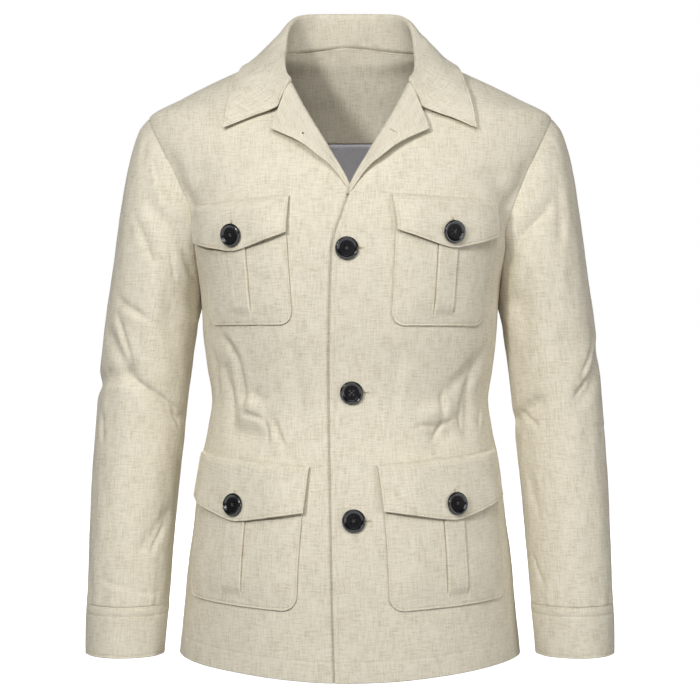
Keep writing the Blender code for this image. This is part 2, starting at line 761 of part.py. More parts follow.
def place_button(name, radius, angle, height, lift):
    """A button on the cloth, its back clear of it and its face outwards."""
    seat = skin(angle, height, lift)
    outwards = Vector(skin(angle, height, lift + 1.0) - seat)
    button = button_mesh(name, radius)
    button.location = Vector(seat) * MM
    button.rotation_mode = "QUATERNION"
    button.rotation_quaternion = outwards.to_track_quat("Z", "Y")


def make_pockets():
    for pocket in POCKETS:
        side_name = "left" if pocket.side > 0 else "right"
        make_pocket(pocket, f"{pocket.name}_pocket_{side_name}")
        make_flap(pocket, f"{pocket.name}_flap_{side_name}")
        button_down = pocket.flap_point - 18.0
        angle, height = pocket_place(pocket, 0, button_down, pocket.lean)
        place_button(f"{pocket.name}_button_{side_name}", POCKET_BUTTON_RADIUS, pocket.side * angle, height,
                     flap_lift(button_down) + DOUBLE_CLOTH + BUTTON_SHANK)


def make_front_buttons():
    for number, button in enumerate(FRONT_BUTTONS, 1):
        place_button(f"front_button_{number}", FRONT_BUTTON_RADIUS, button.angle, button.height, BUTTON_SHANK)


for leftover in list(bpy.data.objects):
    bpy.data.objects.remove(leftover)
JACKET = bpy.data.objects.new("jacket", None)
bpy.context.scene.collection.objects.link(JACKET)
make_fronts()
make_back()
make_back_facing_and_lining()
make_sleeves()
make_collar()
make_lapels()
make_pockets()
make_front_buttons()
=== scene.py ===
# %% [markdown]
# # A natural-linen jacket with four patch pockets
#
# The jacket hangs as if somebody wore it, but it is an empty shell of sewn cloth.  A fixed frame of
# plain walls is already there, one wall for each piece that a tailor would cut.  This lesson gives each
# wall a finer sheet of cloth of the same form, then adds creases, seams, stitches and buttons.
# Sizes are in millimetres, and they become metres in one place, where points are put on a mesh.
# +Z is up, the front faces -Y and the wearer's left is +X.

import json
import math
from collections import namedtuple

import bmesh
import bpy
import numpy as np
from mathutils import Matrix, Vector

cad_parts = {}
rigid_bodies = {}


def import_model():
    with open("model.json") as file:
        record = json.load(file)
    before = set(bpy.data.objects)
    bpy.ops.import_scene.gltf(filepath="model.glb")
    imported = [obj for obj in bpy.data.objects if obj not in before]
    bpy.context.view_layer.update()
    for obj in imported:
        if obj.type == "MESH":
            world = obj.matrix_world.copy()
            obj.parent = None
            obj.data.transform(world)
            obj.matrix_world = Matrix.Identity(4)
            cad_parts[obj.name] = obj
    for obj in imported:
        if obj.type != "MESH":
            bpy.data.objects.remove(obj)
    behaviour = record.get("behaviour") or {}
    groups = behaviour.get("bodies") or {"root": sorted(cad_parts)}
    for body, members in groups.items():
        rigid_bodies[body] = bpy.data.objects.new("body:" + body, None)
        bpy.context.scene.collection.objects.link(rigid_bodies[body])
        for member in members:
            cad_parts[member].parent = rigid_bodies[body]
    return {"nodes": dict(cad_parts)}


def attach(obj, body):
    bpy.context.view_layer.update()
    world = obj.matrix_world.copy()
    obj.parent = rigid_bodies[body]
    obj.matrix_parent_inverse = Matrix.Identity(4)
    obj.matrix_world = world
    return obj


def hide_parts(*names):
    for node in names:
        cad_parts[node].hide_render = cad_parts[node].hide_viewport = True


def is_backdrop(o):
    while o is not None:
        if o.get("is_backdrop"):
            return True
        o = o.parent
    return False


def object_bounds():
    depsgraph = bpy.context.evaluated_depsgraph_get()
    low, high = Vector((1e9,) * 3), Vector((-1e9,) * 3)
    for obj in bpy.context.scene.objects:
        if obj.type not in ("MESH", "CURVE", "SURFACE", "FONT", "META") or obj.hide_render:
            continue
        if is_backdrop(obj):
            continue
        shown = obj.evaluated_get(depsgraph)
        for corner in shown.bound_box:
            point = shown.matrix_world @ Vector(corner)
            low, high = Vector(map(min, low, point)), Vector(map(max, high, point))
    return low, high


MM = 0.001  # metres in a millimetre
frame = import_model()
CAD_LOW, CAD_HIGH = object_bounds()
print("frame with", len(frame["nodes"]), "walls,", [round(side, 3) for side in CAD_HIGH - CAD_LOW], "m")

# %% [markdown]
# ## Curves through a few sizes
#
# A tailor's block is a short list of measures: so wide at the waist, so deep at the chest.  Between two
# measures the cloth runs on smoothly, so each table below is read through a curve that passes every row
# and never overshoots it.  All functions take whole arrays of places, because a sheet of cloth has
# thousands of points and one array call is far quicker than thousands of single ones.

# %% A curve that never overshoots
def smooth_curve(keys, values, at):
    """Values read between their keys by a curve that never overshoots them."""
    keys, values, at = (np.asarray(numbers, float) for numbers in (keys, values, at))
    rises = np.diff(values, axis=0) / np.diff(keys).reshape(-1, *[1] * (values.ndim - 1))
    before, after = rises[:-1], rises[1:]
    total = before + after
    mean = 2 * before * after / np.where(total == 0, 1, total)
    slopes = np.concatenate([rises[:1], np.where(before * after > 0, mean, 0), rises[-1:]])
    first = np.clip(np.searchsorted(keys, at) - 1, 0, len(keys) - 2)

    def row(table, index):
        if table.ndim == 2:
            return table[index]
        return np.take_along_axis(table, index[None, ..., None], axis=0)[0]

    step = (keys[first + 1] - keys[first])[..., None]
    share = np.clip((at - keys[first])[..., None] / step, 0, 1)
    rest = 1 - share
    leaving = row(values, first) * (1 + 2 * share) * rest ** 2
    arriving = row(values, first + 1) * share * share * (3 - 2 * share)
    bend = row(slopes, first) * share * rest ** 2 - row(slopes, first + 1) * share * share * rest
    return leaving + arriving + step * bend


print("a curve through 0, 2 and 3 starts", smooth_curve([0, 1, 2], [[0], [2], [3]], [0, 0.25, 0.5]).ravel())

# %% Tables of measures
class SmoothTable:
    """Rows of named numbers, read between the rows by their first column."""

    def __init__(self, columns, rows):
        self.entry = namedtuple("Entry", columns)
        self.values = np.array(sorted(rows), float)

    def at(self, key):
        read = smooth_curve(self.values[:, 0], self.values, key)
        return self.entry(*np.moveaxis(read, -1, 0))


def blend(start, end, share):
    return start + (end - start) * share


def ease(share):
    """A smooth step from 0 to 1."""
    share = np.clip(share, 0, 1)
    return share * share * (3 - 2 * share)


def unit(vectors):
    """Vectors made one long."""
    return vectors / np.linalg.norm(vectors, axis=-1, keepdims=True)


def stacked(*columns):
    """Columns of numbers side by side, such as the x, y and z of points."""
    return np.stack(np.broadcast_arrays(*columns), axis=-1).astype(float)


print("a smooth step goes", ease(np.linspace(0, 1, 5)))

# %% [markdown]
# ## The form that the cloth hangs on
#
# A jacket's body is a rounded tube that is wider than deep.  Level sections give it: half a superellipse
# in front and half behind, at heights from the hem to the nape.  Any place on it is an angle, counted
# from centre front towards the wearer's left, and a height.  One could loft these rings as a mesh, but a
# formula also says which way the cloth faces, so that pockets and flaps can be laid on it later.

# %% Body sections
HEM, FRONT_DIP = -701.0, 14.0  # hem at the sides, and how much lower it hangs in front
WAIST, CHEST, UNDERARM, SHOULDER_TIP = -405.0, -245.0, -296.0, -76.0
NAPE, GORGE = 18.0, -43.0
CLOTH, DOUBLE_CLOTH = 1.5, 2.2  # one layer, and turned pieces with two
SEAM, LAID = 0.3, 0.9  # gap at a seam, and under a piece that lies on another

RINGS = SmoothTable("height half_width front_depth back_depth front_fullness back_fullness", [
    (-725, 202, 152, 142, 2.2, 2.2),
    (-660, 195.5, 151, 140, 2.2, 2.2),
    (-600, 190, 150, 138, 2.2, 2.2),
    (-540, 182, 146, 134, 2.2, 2.2),
    (-480, 175, 138, 124, 2.2, 2.2),
    (-440, 167, 131, 116, 2.2, 2.2),
    (-405, 162, 128, 112, 2.2, 2.2),
    (-370, 167, 131, 115, 2.2, 2.2),
    (-330, 172, 137, 123, 2.25, 2.2),
    (-300, 173.5, 140, 129, 2.3, 2.25),
    (-275, 176, 142, 133, 2.3, 2.25),
    (-245, 184, 143, 137, 2.3, 2.3),
    (-215, 196, 143, 140, 2.25, 2.3),
    (-190, 208, 140, 141, 2.2, 2.3),
    (-165, 220, 135, 140, 2.2, 2.3),
    (-142, 230, 128, 137, 2.15, 2.25),
    (-120, 238, 119, 132, 2.1, 2.2),
    (-100, 241, 109, 125, 2.1, 2.15),
    (-76, 237, 95, 114, 2.05, 2.1),
    (-53, 199, 79, 102, 2, 2.05),
    (-35, 163, 66, 91, 2, 2),
    (-15, 119, 50, 80, 2, 2),
    (0, 84, 38, 72, 2, 2),
    (20, 77, 34, 66, 2, 2),
])
print("body of", len(RINGS.values), "rings, from the hem at", HEM, "to the nape at", NAPE)

# %% Points of the body
def torso(angle, height):
    """Points of the plain body, without its folds."""
    ring = RINGS.at(height)
    forward, sideways = np.cos(np.radians(angle)), np.sin(np.radians(angle))
    depth = np.where(forward < 0, ring.back_depth, ring.front_depth)
    fullness = np.where(forward < 0, ring.back_fullness, ring.front_fullness)
    spread = (np.abs(forward) / depth) ** fullness + (np.abs(sideways) / ring.half_width) ** fullness
    reach = spread ** (-1 / fullness)
    return stacked(reach * sideways, -reach * forward, height)


def normals_of(surface, u, v, step, flip=False):
    """Which way a surface faces at places (u, v), from points a small step to each side."""
    along_u = surface(u + step, v) - surface(u - step, v)
    along_v = surface(u, v + step) - surface(u, v - step)
    return unit(np.cross(along_u, along_v)) * (-1 if flip else 1)


for place, level in (("hem", HEM), ("waist", WAIST), ("chest", CHEST)):
    girth = np.linalg.norm(np.diff(torso(np.linspace(0, 360, 361), level), axis=0), axis=-1).sum()
    print(f"{place}: {girth:.0f} mm round")

# %% Finding a place on the body
def angle_at(x, height, back=False):
    """The angle at which the body is x from the middle, in front or at the back."""
    ring = RINGS.at(height)
    depth, fullness = ring.front_depth, ring.front_fullness
    if back:
        depth, fullness = ring.back_depth, ring.back_fullness
    share = np.minimum(np.abs(x) / ring.half_width, 1)
    y = depth * (1 - share ** fullness) ** (1 / fullness)
    angle = np.degrees(np.arctan2(x, y))
    return 180 - angle if back else angle


def walk(angle, height, distance):
    """The angle reached by going a distance round the body at one height."""
    steps = 8
    for _ in range(steps):
        per_degree = np.linalg.norm(torso(angle + 0.5, height) - torso(angle - 0.5, height), axis=-1)
        angle = angle + distance / steps / per_degree
    return angle


print(f"100 mm from its middle the waist lies at {angle_at(100.0, WAIST):.1f} degrees")

# %% [markdown]
# ## Folds and creases
#
# Linen keeps every crease.  The frame has only the largest folds, so those come first, with the same
# sizes.  The smaller ones are listed, a row each: where it starts and ends on the cloth, how wide
# and deep it is, and how far it bows.  A crease is a soft trough with a low bank beside it that fades out
# at both ends.  The sides that the photo hides get similar ones.  A cloth simulation would crease the
# linen too, but never in these places.

# %% Large folds of the body
ROUND_PER_DEGREE = 2.8  # millimetres round the body for one degree
Fold = namedtuple("Fold", "start_round start_along end_round end_along width depth")
BODY_FOLDS = [Fold(*row) for row in (  # by angle and height
    (-63, -372, -58, -440, 11, -4.0),
    (-46, -405, -38, -432, 9, -2.5),
    (61, -376, 57, -442, 11, -4.0),
    (52, -424, 40, -436, 9, -2.5),
    (-118, -370, -124, -442, 12, -4.5),
    (120, -366, 126, -445, 12, -4.5),
    (-150, -392, -160, -420, 12, -3.0),
    (152, -400, 162, -430, 12, -3.0),
    (-62, -150, -72, -212, 12, -4.0),
    (60, -150, 70, -212, 12, -4.0),
)]
print("folds that the frame has too:", len(BODY_FOLDS))

# %% Creases of the body
Crease = namedtuple("Crease", (*Fold._fields, "bow"))
BODY_CREASES = [Crease(*row) for row in (
    (-61, -331, -53, -368, 6, -4.4, 2),
    (-53.5, -360, -52.5, -418, 5, -4.2, 0),
    (-57.5, -374, -56.5, -416, 4.5, 1.8, 0),
    (-62.8, -380, -59, -440, 2.8, -3.2, 1),
    (-54, -408, -41, -414, 7, 3.6, 1),
    (-53, -420, -41.5, -426.5, 2.6, -3.4, 1),
    (-56, -441, -40, -446, 12, -6.5, 0),
    (-41.5, -425, -38.5, -453, 2.8, -3.0, 1),
    (-39, -427, -36, -450, 4, 1.4, 0),
    (-36.7, -425, -29, -460, 2.8, -2.8, -2),
    (-69, -343, -72, -405, 6.8, -2.2, 2),
    (-27, -332, -24, -446, 7.7, -1.7, 2),
    (67, -346, 45, -398, 9, -3.4, 3),
    (45, -394, 45.5, -421, 4.5, -2.8, 0),
    (34, -420, 44, -417, 7, 2.4, 0),
    (30, -434, 42.5, -433.5, 2.4, -2.5, 0.5),
    (41.5, -433.5, 51, -426.5, 2.6, -2.5, -1),
    (46.3, -424, 39, -451, 2.8, -2.6, 0),
    (38, -447, 53, -441, 11, -5.5, 0),
    (61, -378, 57.5, -404, 5, -2.4, 0),
    (56.5, -402, 54.2, -439, 3, -2.2, -1),
    (70, -411, 64.4, -438, 3, -1.4, 1),
    (-73.5, -122, -66.5, -200, 8, -4.0, 0),
    (73.5, -126, 66, -196, 8, -3.0, 0),
    (24, -340, 22, -440, 7.7, -1.6, -2),
    (-7.5, -649, 3.5, -643, 1.8, -0.64, 0.5),
    (-140, -398, -146, -440, 3.6, -2.6, 1),
    (-128, -405, -133, -438, 2.9, -2.3, -1),
    (146, -394, 150, -436, 3.6, -2.6, -1),
    (134, -402, 130, -441, 2.9, -2.3, 1),
    (170, -415, 176, -452, 3.6, -2.1, 1),
    (-171, -408, -178, -446, 3.6, -2.2, -1),
    (-128, -200, -120, -300, 9, -2.9, 3),
    (126, -190, 119, -290, 9, -2.9, -3),
)]
print("creases of the body:", len(BODY_CREASES))

# %% Height of a fold and of a crease
BANK, BANK_PLACE, BANK_WIDTH = 0.25, 1.9, 1.2  # the bank beside a crease, in shares of it
END_FADE = 0.35  # share of a crease's length over which its end fades out


def fold_height(u, v, start, end, width, depth):
    """How far a soft fold along a line moves the cloth out, at places (u, v) in millimetres."""
    line = np.subtract(end, start)
    share = np.clip(((u - start[0]) * line[0] + (v - start[1]) * line[1]) / np.dot(line, line), 0, 1)
    away = np.hypot(u - start[0] - line[0] * share, v - start[1] - line[1] * share)
    return depth * np.exp(-(away / width) ** 2)


def crease_height(u, v, start, end, width, depth, bow):
    """A trough along a bowed line, with a bank on one side, fading out at both ends."""
    line = np.subtract(end, start)
    length = np.hypot(*line)
    along = ((u - start[0]) * line[0] + (v - start[1]) * line[1]) / length
    beside = ((v - start[1]) * line[0] - (u - start[0]) * line[1]) / length
    share = np.clip(along / length, 0, 1)
    beside = beside - 4 * bow * share * (1 - share)
    fade = END_FADE * length + width
    taper = ease((along + width) / fade) * ease((length + width - along) / fade)
    trough = np.exp(-(beside / width) ** 2)
    bank = BANK * np.exp(-((beside - BANK_PLACE * width) / (BANK_WIDTH * width)) ** 2)
    return depth * taper * (trough - bank)


def with_folds(relief, u, v, folds, creases, per_round, per_along=1.0):
    """A relief with folds and creases added, whose ends become millimetres by the two scales."""
    for rows, height_of in ((folds, fold_height), (creases, crease_height)):
        for row in rows:
            start = (row.start_round * per_round, row.start_along * per_along)
            end = (row.end_round * per_round, row.end_along * per_along)
            relief = relief + height_of(u, v, start, end, *row[4:])
    return relief


print(f"a crease of 2 mm moves its middle {crease_height(0, 0, (0, -20), (0, 20), 4, -2, 0):.2f} mm")

# %% The creased body
Wave = namedtuple("Wave", "height turns lean lean_start pitch start")
WAVES = [  # broad, middle and fine unevenness
    Wave(0.45, 7, 0.021, 0.0, 0.017, 1.3),
    Wave(0.36, 13, -0.034, 0.7, 0.029, 0.4),
    Wave(0.16, 31, 0.09, 0.0, 0.083, -0.6),
]
DEGREE_STEP = 0.5  # for the body's slope, in degrees and millimetres


def ripple(turn, run):
    """The slight unevenness of worn cloth; turn is in radians and repeats after one round."""
    return sum(wave.height * np.sin(wave.turns * turn + wave.lean * run + wave.lean_start)
               * np.sin(wave.pitch * run + wave.start) for wave in WAVES)


def body_relief(angle, height):
    worn = ripple(np.radians(angle), height)
    return with_folds(worn, angle * ROUND_PER_DEGREE, height, BODY_FOLDS, BODY_CREASES, ROUND_PER_DEGREE)


def skin(angle, height, lift=0.0):
    """Points of the creased body, or points at a lift above it."""
    angle, height = np.broadcast_arrays(np.asarray(angle, float), np.asarray(height, float))
    turned = (angle + 180) % 360 - 180
    out = lift + body_relief(turned, height)
    return torso(angle, height) + normals_of(torso, angle, height, DEGREE_STEP) * out[..., None]


print(f"the front of the waist lies at y {skin(0.0, WAIST)[1]:.1f} mm")

# %% [markdown]
# ## How a sheet of cloth is made
#
# Every piece is one grid of points: a bmesh grid whose points are then put on the piece's own surface.
# Points lie close together along the edges, where the cloth is turned and sewn, and wider apart between.
# A turned edge rounds off, a seam dips, and a row of stitches draws in a shallow groove that is never
# quite even.  The Solidify modifier then gives the sheet its thickness, inwards.  The sheet also gets a
# UV map in real metres along its grain, so that the weave runs the way the piece was cut.

# %% Points that lie closer together at the edges
TURNED_EDGE = (0, 0.3, 0.8, 1.5, 2.5, 3.5, 4.4, 5.2, 6.0, 7.2, 9)  # from a turned and stitched edge
SEAM_EDGE = (0, 0.4, 1, 2, 4)  # from a seam
PLAIN_EDGE = (0,)
FINE_STEPS = 300  # for measuring a line before points are put on it


def spaced(length, between, start_edge, end_edge):
    """Distances over a length: close together along both edges, even between them."""
    length = np.asarray(length, float)[..., None]
    start, end = np.array(start_edge, float), np.array(end_edge, float)
    fit = np.minimum(1, length / (start[-1] + end[-1] + 2))
    even = np.linspace(0, 1, between + 2)[1:-1]
    middle = start[-1] * fit + (length - (end[-1] + start[-1]) * fit) * even
    return np.concatenate([start * fit, middle, length - end[::-1] * fit], axis=-1)


def lengths(points, axis):
    """Distance along each line of a grid, from its first point."""
    steps = np.linalg.norm(np.diff(points, axis=axis), axis=-1)
    return np.insert(np.cumsum(steps, axis=axis), 0, 0, axis=axis)


def to_end(distance, axis):
    """The same distances, counted from the other end."""
    return np.take(distance, [-1], axis=axis) - distance


def shares_at(sheet, along, spacing):
    """Shares across a sheet, row by row, at the distances that spacing gives for the row's length."""
    fine = np.linspace(0, 1, FINE_STEPS)
    arcs = lengths(sheet(*np.meshgrid(fine, along)), axis=1)
    return np.array([np.interp(wanted, arc, fine) for wanted, arc in zip(spacing(arcs[:, -1]), arcs)])


def grid_normals(points, tube=False):
    """Which way a grid of points faces, counted round a tube without a break."""
    if tube:
        points = np.concatenate([points[:, -2:-1], points, points[:, 1:2]], axis=1)
    normals = unit(np.cross(np.gradient(points, axis=1), np.gradient(points, axis=0)))
    return normals[:, 1:-1] if tube else normals


print("points over 30 mm, from an edge to a seam:", np.round(spaced(30, 3, TURNED_EDGE, SEAM_EDGE), 1))

# %% Edges, seams and stitched grooves
EDGE_RADIUS = 0.9
SEAM_DIP, SEAM_WIDTH = 0.45, 1.0
SEWN_DEPTH, SEWN_WIDTH, SEWN_UNEVEN = 0.55, 0.9, 0.45
PULL, SWAY, SWAY_RUN = 1.5, 1.8, 8.5  # how the unevenness of a groove repeats and wanders along its run


def turned_edge(distance, radius=EDGE_RADIUS):
    """How far a turned edge rounds down, at a distance from it."""
    into = np.clip(1 - distance / radius, 0, 1)
    return -radius * (1 - np.sqrt(1 - into ** 2))


def seam(distance):
    """How far the cloth dips in, at a distance from a seam."""
    return -SEAM_DIP * np.exp(-(distance / SEAM_WIDTH) ** 2)


def sewn(distance, place, run):
    """The groove of a row of stitches at one distance from an edge, uneven along its run."""
    uneven = 1 + SEWN_UNEVEN * np.sin(run / PULL + SWAY * np.sin(run / SWAY_RUN))
    return -SEWN_DEPTH * uneven * np.exp(-((distance - place) / SEWN_WIDTH) ** 2)


print(f"a turned edge rounds down by {-turned_edge(0.0):.1f} mm, and a seam dips in {-seam(0.0):.2f} mm")

# %% Meshes and objects
def finished_mesh(body, name):
    """A bmesh made a mesh of that name."""
    mesh = bpy.data.meshes.new(name)
    body.to_mesh(mesh)
    body.free()
    return mesh


def add_object(name, data):
    """A new object in the scene, at the origin."""
    piece = bpy.data.objects.new(name, data)
    bpy.context.scene.collection.objects.link(piece)
    return piece


def draped_grid(name, placed, cut):
    """A grid with its points put in place, and a UV map of their places on the flat linen."""
    rows, columns = placed.shape[:2]
    body = bmesh.new()
    bmesh.ops.create_grid(body, x_segments=columns - 1, y_segments=rows - 1, size=0.5)
    mesh = finished_mesh(body, name)
    flat = np.empty(3 * len(mesh.vertices), np.float32)
    mesh.vertices.foreach_get("co", flat)
    place = np.rint((flat.reshape(-1, 3)[:, :2] + 0.5) * (columns - 1, rows - 1)).astype(int)
    column, row = place.T
    mesh.vertices.foreach_set("co", (placed[row, column] * MM).astype(np.float32).ravel())
    corners = np.empty(len(mesh.loops), np.int32)
    mesh.loops.foreach_get("vertex_index", corners)
    grain = mesh.uv_layers.new(name="grain")
    grain.uv.foreach_set("vector", (cut[row, column][corners] * MM).astype(np.float32).ravel())
    return mesh


# %% A sheet of cloth
CLOTHS = {}
SAME_POINT = 0.02  # points of a tube's first and last column that lie closer are one


def new_cloth(node, points, relief, cut, thickness, finish, flip=False, tube=False):
    """A sheet of cloth that stands for a wall of the frame.

    points is a grid in millimetres, relief moves it along its normals and cut is its place on the
    flat linen.  A tube's last column is joined to its first.
    """
    outwards = grid_normals(points, tube) * (-1 if flip else 1)
    placed = points + outwards * np.broadcast_to(relief, points.shape[:2])[..., None]
    mesh = draped_grid(node + "_cloth", placed, cut)
    body = bmesh.new()
    body.from_mesh(mesh)
    if tube:
        bmesh.ops.remove_doubles(body, verts=body.verts, dist=SAME_POINT * MM)
    if flip:
        bmesh.ops.reverse_faces(body, faces=body.faces)
    body.to_mesh(mesh)
    body.free()
    mesh.shade_smooth()
    mesh.materials.append(finish)
    piece = add_object(node + "_cloth", mesh)
    wall = piece.modifiers.new("thickness", "SOLIDIFY")
    wall.thickness = thickness * MM
    wall.offset = -1
    CLOTHS[node] = piece
    area = sum(face.area for face in mesh.polygons)
    print(f"{node}: {len(mesh.polygons)} faces, {area:.4f} square metres")


# %% [markdown]
# ## Natural linen
#
# Undyed linen is a pale straw colour.  Its yarn is spun unevenly, so thick slubs and darker fibres show
# as short streaks along the warp and across it, with small knots and a few dark flecks of flax straw.
# Noise that is stretched a lot one way gives each kind of streak, in the sheet's own UV map.  The same
# streaks raise the surface a little as bump, over a fine weave, and a little sheen stands for the loose
# fibres.

# %% Short ways to make a finish
class Finish:
    """A material and short ways to add nodes to it."""

    def __init__(self, name, coordinates):
        self.material = bpy.data.materials.new(name)
        self.material.use_nodes = True
        self.nodes = self.material.node_tree.nodes
        self.links = self.material.node_tree.links
        self.shader = self.nodes["Principled BSDF"]
        self.place = self.nodes.new("ShaderNodeTexCoord").outputs[coordinates]

    def put(self, value, socket):
        """Links an output to a socket, or sets a constant on it."""
        if isinstance(value, bpy.types.NodeSocket):
            self.links.new(value, socket)
        else:
            socket.default_value = value

    def fill(self, node, sockets):
        """Links or sets several sockets of a node."""
        for name, value in sockets.items():
            self.put(value, node.inputs[name])
        return node

    def shade(self, sockets):
        self.fill(self.shader, sockets)

    def noise(self, scale, detail=2.0):
        """Noise with so many waves in a metre each way."""
        mapping = self.fill(self.nodes.new("ShaderNodeMapping"), {"Vector": self.place, "Scale": scale})
        texture = self.nodes.new("ShaderNodeTexNoise")
        self.fill(texture, {"Vector": mapping.outputs["Vector"], "Scale": 1.0, "Detail": detail})
        return texture.outputs["Fac"]

    def math(self, operation, first, second):
        node = self.nodes.new("ShaderNodeMath")
        node.operation = operation
        return self.fill(node, {0: first, 1: second}).outputs[0]

    def weighted(self, parts):
        """The sum of outputs, each times its weight."""
        total = None
        for value, weight in parts:
            scaled = self.math("MULTIPLY", value, weight)
            total = scaled if total is None else self.math("ADD", total, scaled)
        return total

    def ramp(self, value, stops):
        """A value turned into colours, by stops of a position and a colour."""
        node = self.nodes.new("ShaderNodeValToRGB")
        elements = node.color_ramp.elements
        while len(elements) < len(stops):
            elements.new(0.5)
        for element, (position, colour) in zip(elements, stops):
            element.position = position
            element.color = (*colour, 1)
        self.links.new(value, node.inputs["Fac"])
        return node.outputs["Color"]

    def mix(self, share, first, second):
        """The first colour, with a share of the second one."""
        node = self.nodes.new("ShaderNodeMix")
        node.data_type = "RGBA"
        self.put(share, node.inputs["Factor"])
        for name, value in (("A", first), ("B", second)):
            sockets = [socket for socket in node.inputs if socket.name == name and socket.type == "RGBA"]
            self.put(value, sockets[0])
        return next(socket for socket in node.outputs if socket.type == "RGBA")

    def bump(self, height, strength, distance):
        """Makes the surface look raised where height is large; distance is in metres."""
        node = self.nodes.new("ShaderNodeBump")
        self.fill(node, {"Height": height, "Strength": strength, "Distance": distance})
        self.shade({"Normal": node.outputs["Normal"]})

# %% Natural linen
LINEN_LIGHT, LINEN_MID, LINEN_DARK = (0.77, 0.715, 0.59), (0.695, 0.64, 0.51), (0.57, 0.51, 0.385)
FLECK = (0.23, 0.16, 0.085)


def grey(value):
    return (value, value, value)


def natural_linen():
    linen = Finish("natural_linen", "UV")
    warp = linen.noise((1700, 60, 1))
    weft = linen.noise((110, 1700, 1))
    warp_slubs = linen.noise((600, 55, 1))
    weft_slubs = linen.noise((65, 600, 1))
    mottle = linen.noise((75, 45, 1), 5)
    knots = linen.noise((640, 760, 1), 1)
    streaks = linen.weighted([(warp, 0.14), (weft, 0.17), (warp_slubs, 0.20), (weft_slubs, 0.20),
                              (mottle, 0.12), (knots, 0.17)])
    colour = linen.ramp(streaks, [(0.42, LINEN_DARK), (0.491, LINEN_MID), (0.57, LINEN_LIGHT)])
    straw = linen.noise((900, 420, 1), 1)
    flecks = linen.ramp(straw, [(0.70, grey(0)), (0.78, grey(0.45))])
    weave = linen.noise((1500, 1500, 1), 1)
    height = linen.weighted([(warp, 0.4), (weft, 0.4), (weave, 0.5), (mottle, 0.3)])
    linen.bump(height, strength=0.35, distance=0.0006)
    linen.shade({
        "Base Color": linen.mix(flecks, colour, (*FLECK, 1)),
        "Roughness": 0.92,
        "Specular IOR Level": 0.25,
        "Sheen Weight": 0.12,
        "Sheen Roughness": 0.55,
    })
    return linen.material


LINEN = natural_linen()
print("finish:", LINEN.name, "with", len(LINEN.node_tree.nodes), "nodes")

# %% Grey lining
LINING_DARK, LINING_LIGHT = (0.50, 0.49, 0.53), (0.66, 0.65, 0.70)


def lining_cloth():
    lining = Finish("grey_lining", "UV")
    twill = lining.noise((1300, 300, 1))
    mottle = lining.noise((40, 40, 1), 3)
    tone = lining.weighted([(twill, 0.6), (mottle, 0.4)])
    colour = lining.ramp(tone, [(0.35, LINING_DARK), (0.65, LINING_LIGHT)])
    lining.bump(tone, strength=0.2, distance=0.0003)
    lining.shade({"Base Color": colour, "Roughness": 0.55, "Sheen Weight": 0.1})
    return lining.material


LINING = lining_cloth()
print("finish:", LINING.name)

# %% [markdown]
# ## Thread
#
# Topstitching is what makes a jacket look sewn, so each stitch is a real little bead of thread.  A single
# low sphere, pulled long, is enough for one stitch.  Thousands of objects would be slow, so the copies of
# each seam are placed as arrays and joined in one mesh.  The linen-coloured thread lies in the grooves
# that the sheets already have.

# %% Thread finishes, and a painted shade for gaps
# Makes the finishes of thread, and also the near-black finish that paints the shade in buttonhole gaps.
def linen_thread(name, dark, light):
    thread = Finish(name, "Object")
    fibres = thread.noise((900, 900, 900))
    thread.bump(fibres, strength=0.2, distance=0.0002)
    thread.shade({"Base Color": thread.ramp(fibres, [(0.35, dark), (0.65, light)]), "Roughness": 0.75})
    return thread.material


SEWING_THREAD = linen_thread("linen_thread", (0.60, 0.52, 0.36), (0.78, 0.70, 0.52))
# Near-black finish of the bead in a buttonhole's slit and an eyelet's hole: painted shade in the gap.
PAINTED_GAP_SHADE = linen_thread("buttonhole_gap", (0.030, 0.024, 0.016), (0.055, 0.045, 0.032))
print("finishes:", SEWING_THREAD.name, PAINTED_GAP_SHADE.name)

# %% Rows of stitches
STITCH_PITCH, STITCH_LENGTH, THREAD = 3.4, 2.7, 0.55
STITCH_SINK = -0.3  # where the middle of the thread lies, from the cloth before it is drawn in


def bead(length, thread):
    """One stitch: its points in millimetres, lying along X, and its faces."""
    body = bmesh.new()
    bmesh.ops.create_uvsphere(body, u_segments=6, v_segments=4, radius=0.5)
    lying = Matrix.Rotation(math.radians(90), 3, "Y")
    bmesh.ops.rotate(body, verts=body.verts, cent=(0, 0, 0), matrix=lying)
    bmesh.ops.scale(body, verts=body.verts, vec=(length, thread, thread))
    points = np.array([vertex.co for vertex in body.verts])
    faces = [[vertex.index for vertex in face.verts] for face in body.faces]
    body.free()
    return points, faces


def row_of_stitches(line, outwards, pitch=STITCH_PITCH, across=False):
    """Frames (ahead, sideways, outwards, place) for stitches along a line, or across it."""
    arc = lengths(line, axis=0)
    places = np.arange(pitch / 2, arc[-1], pitch)

    def read(values, at):
        return np.stack([np.interp(at, arc, column) for column in values.T], axis=1)

    ahead = unit(read(line, places + 0.5) - read(line, places - 0.5))
    up = unit(read(outwards, places))
    sideways = np.cross(up, ahead)
    if across:
        ahead, sideways = sideways, -ahead
    return np.stack([ahead, sideways, up, read(line, places)], axis=1)


def sewn_row(surface, u, v, step, flip=False, lift=0.0):
    """Stitch frames along places (u, v) of a surface, or of cloth at a lift over it."""
    outwards = normals_of(surface, u, v, step, flip)
    return row_of_stitches(surface(u, v) + outwards * (lift + STITCH_SINK), outwards)


print("a stitch has", len(bead(STITCH_LENGTH, THREAD)[1]), "faces")

# %% Thread in one mesh
THREADS = {}
Stitches = namedtuple("Stitches", "frames length thread")


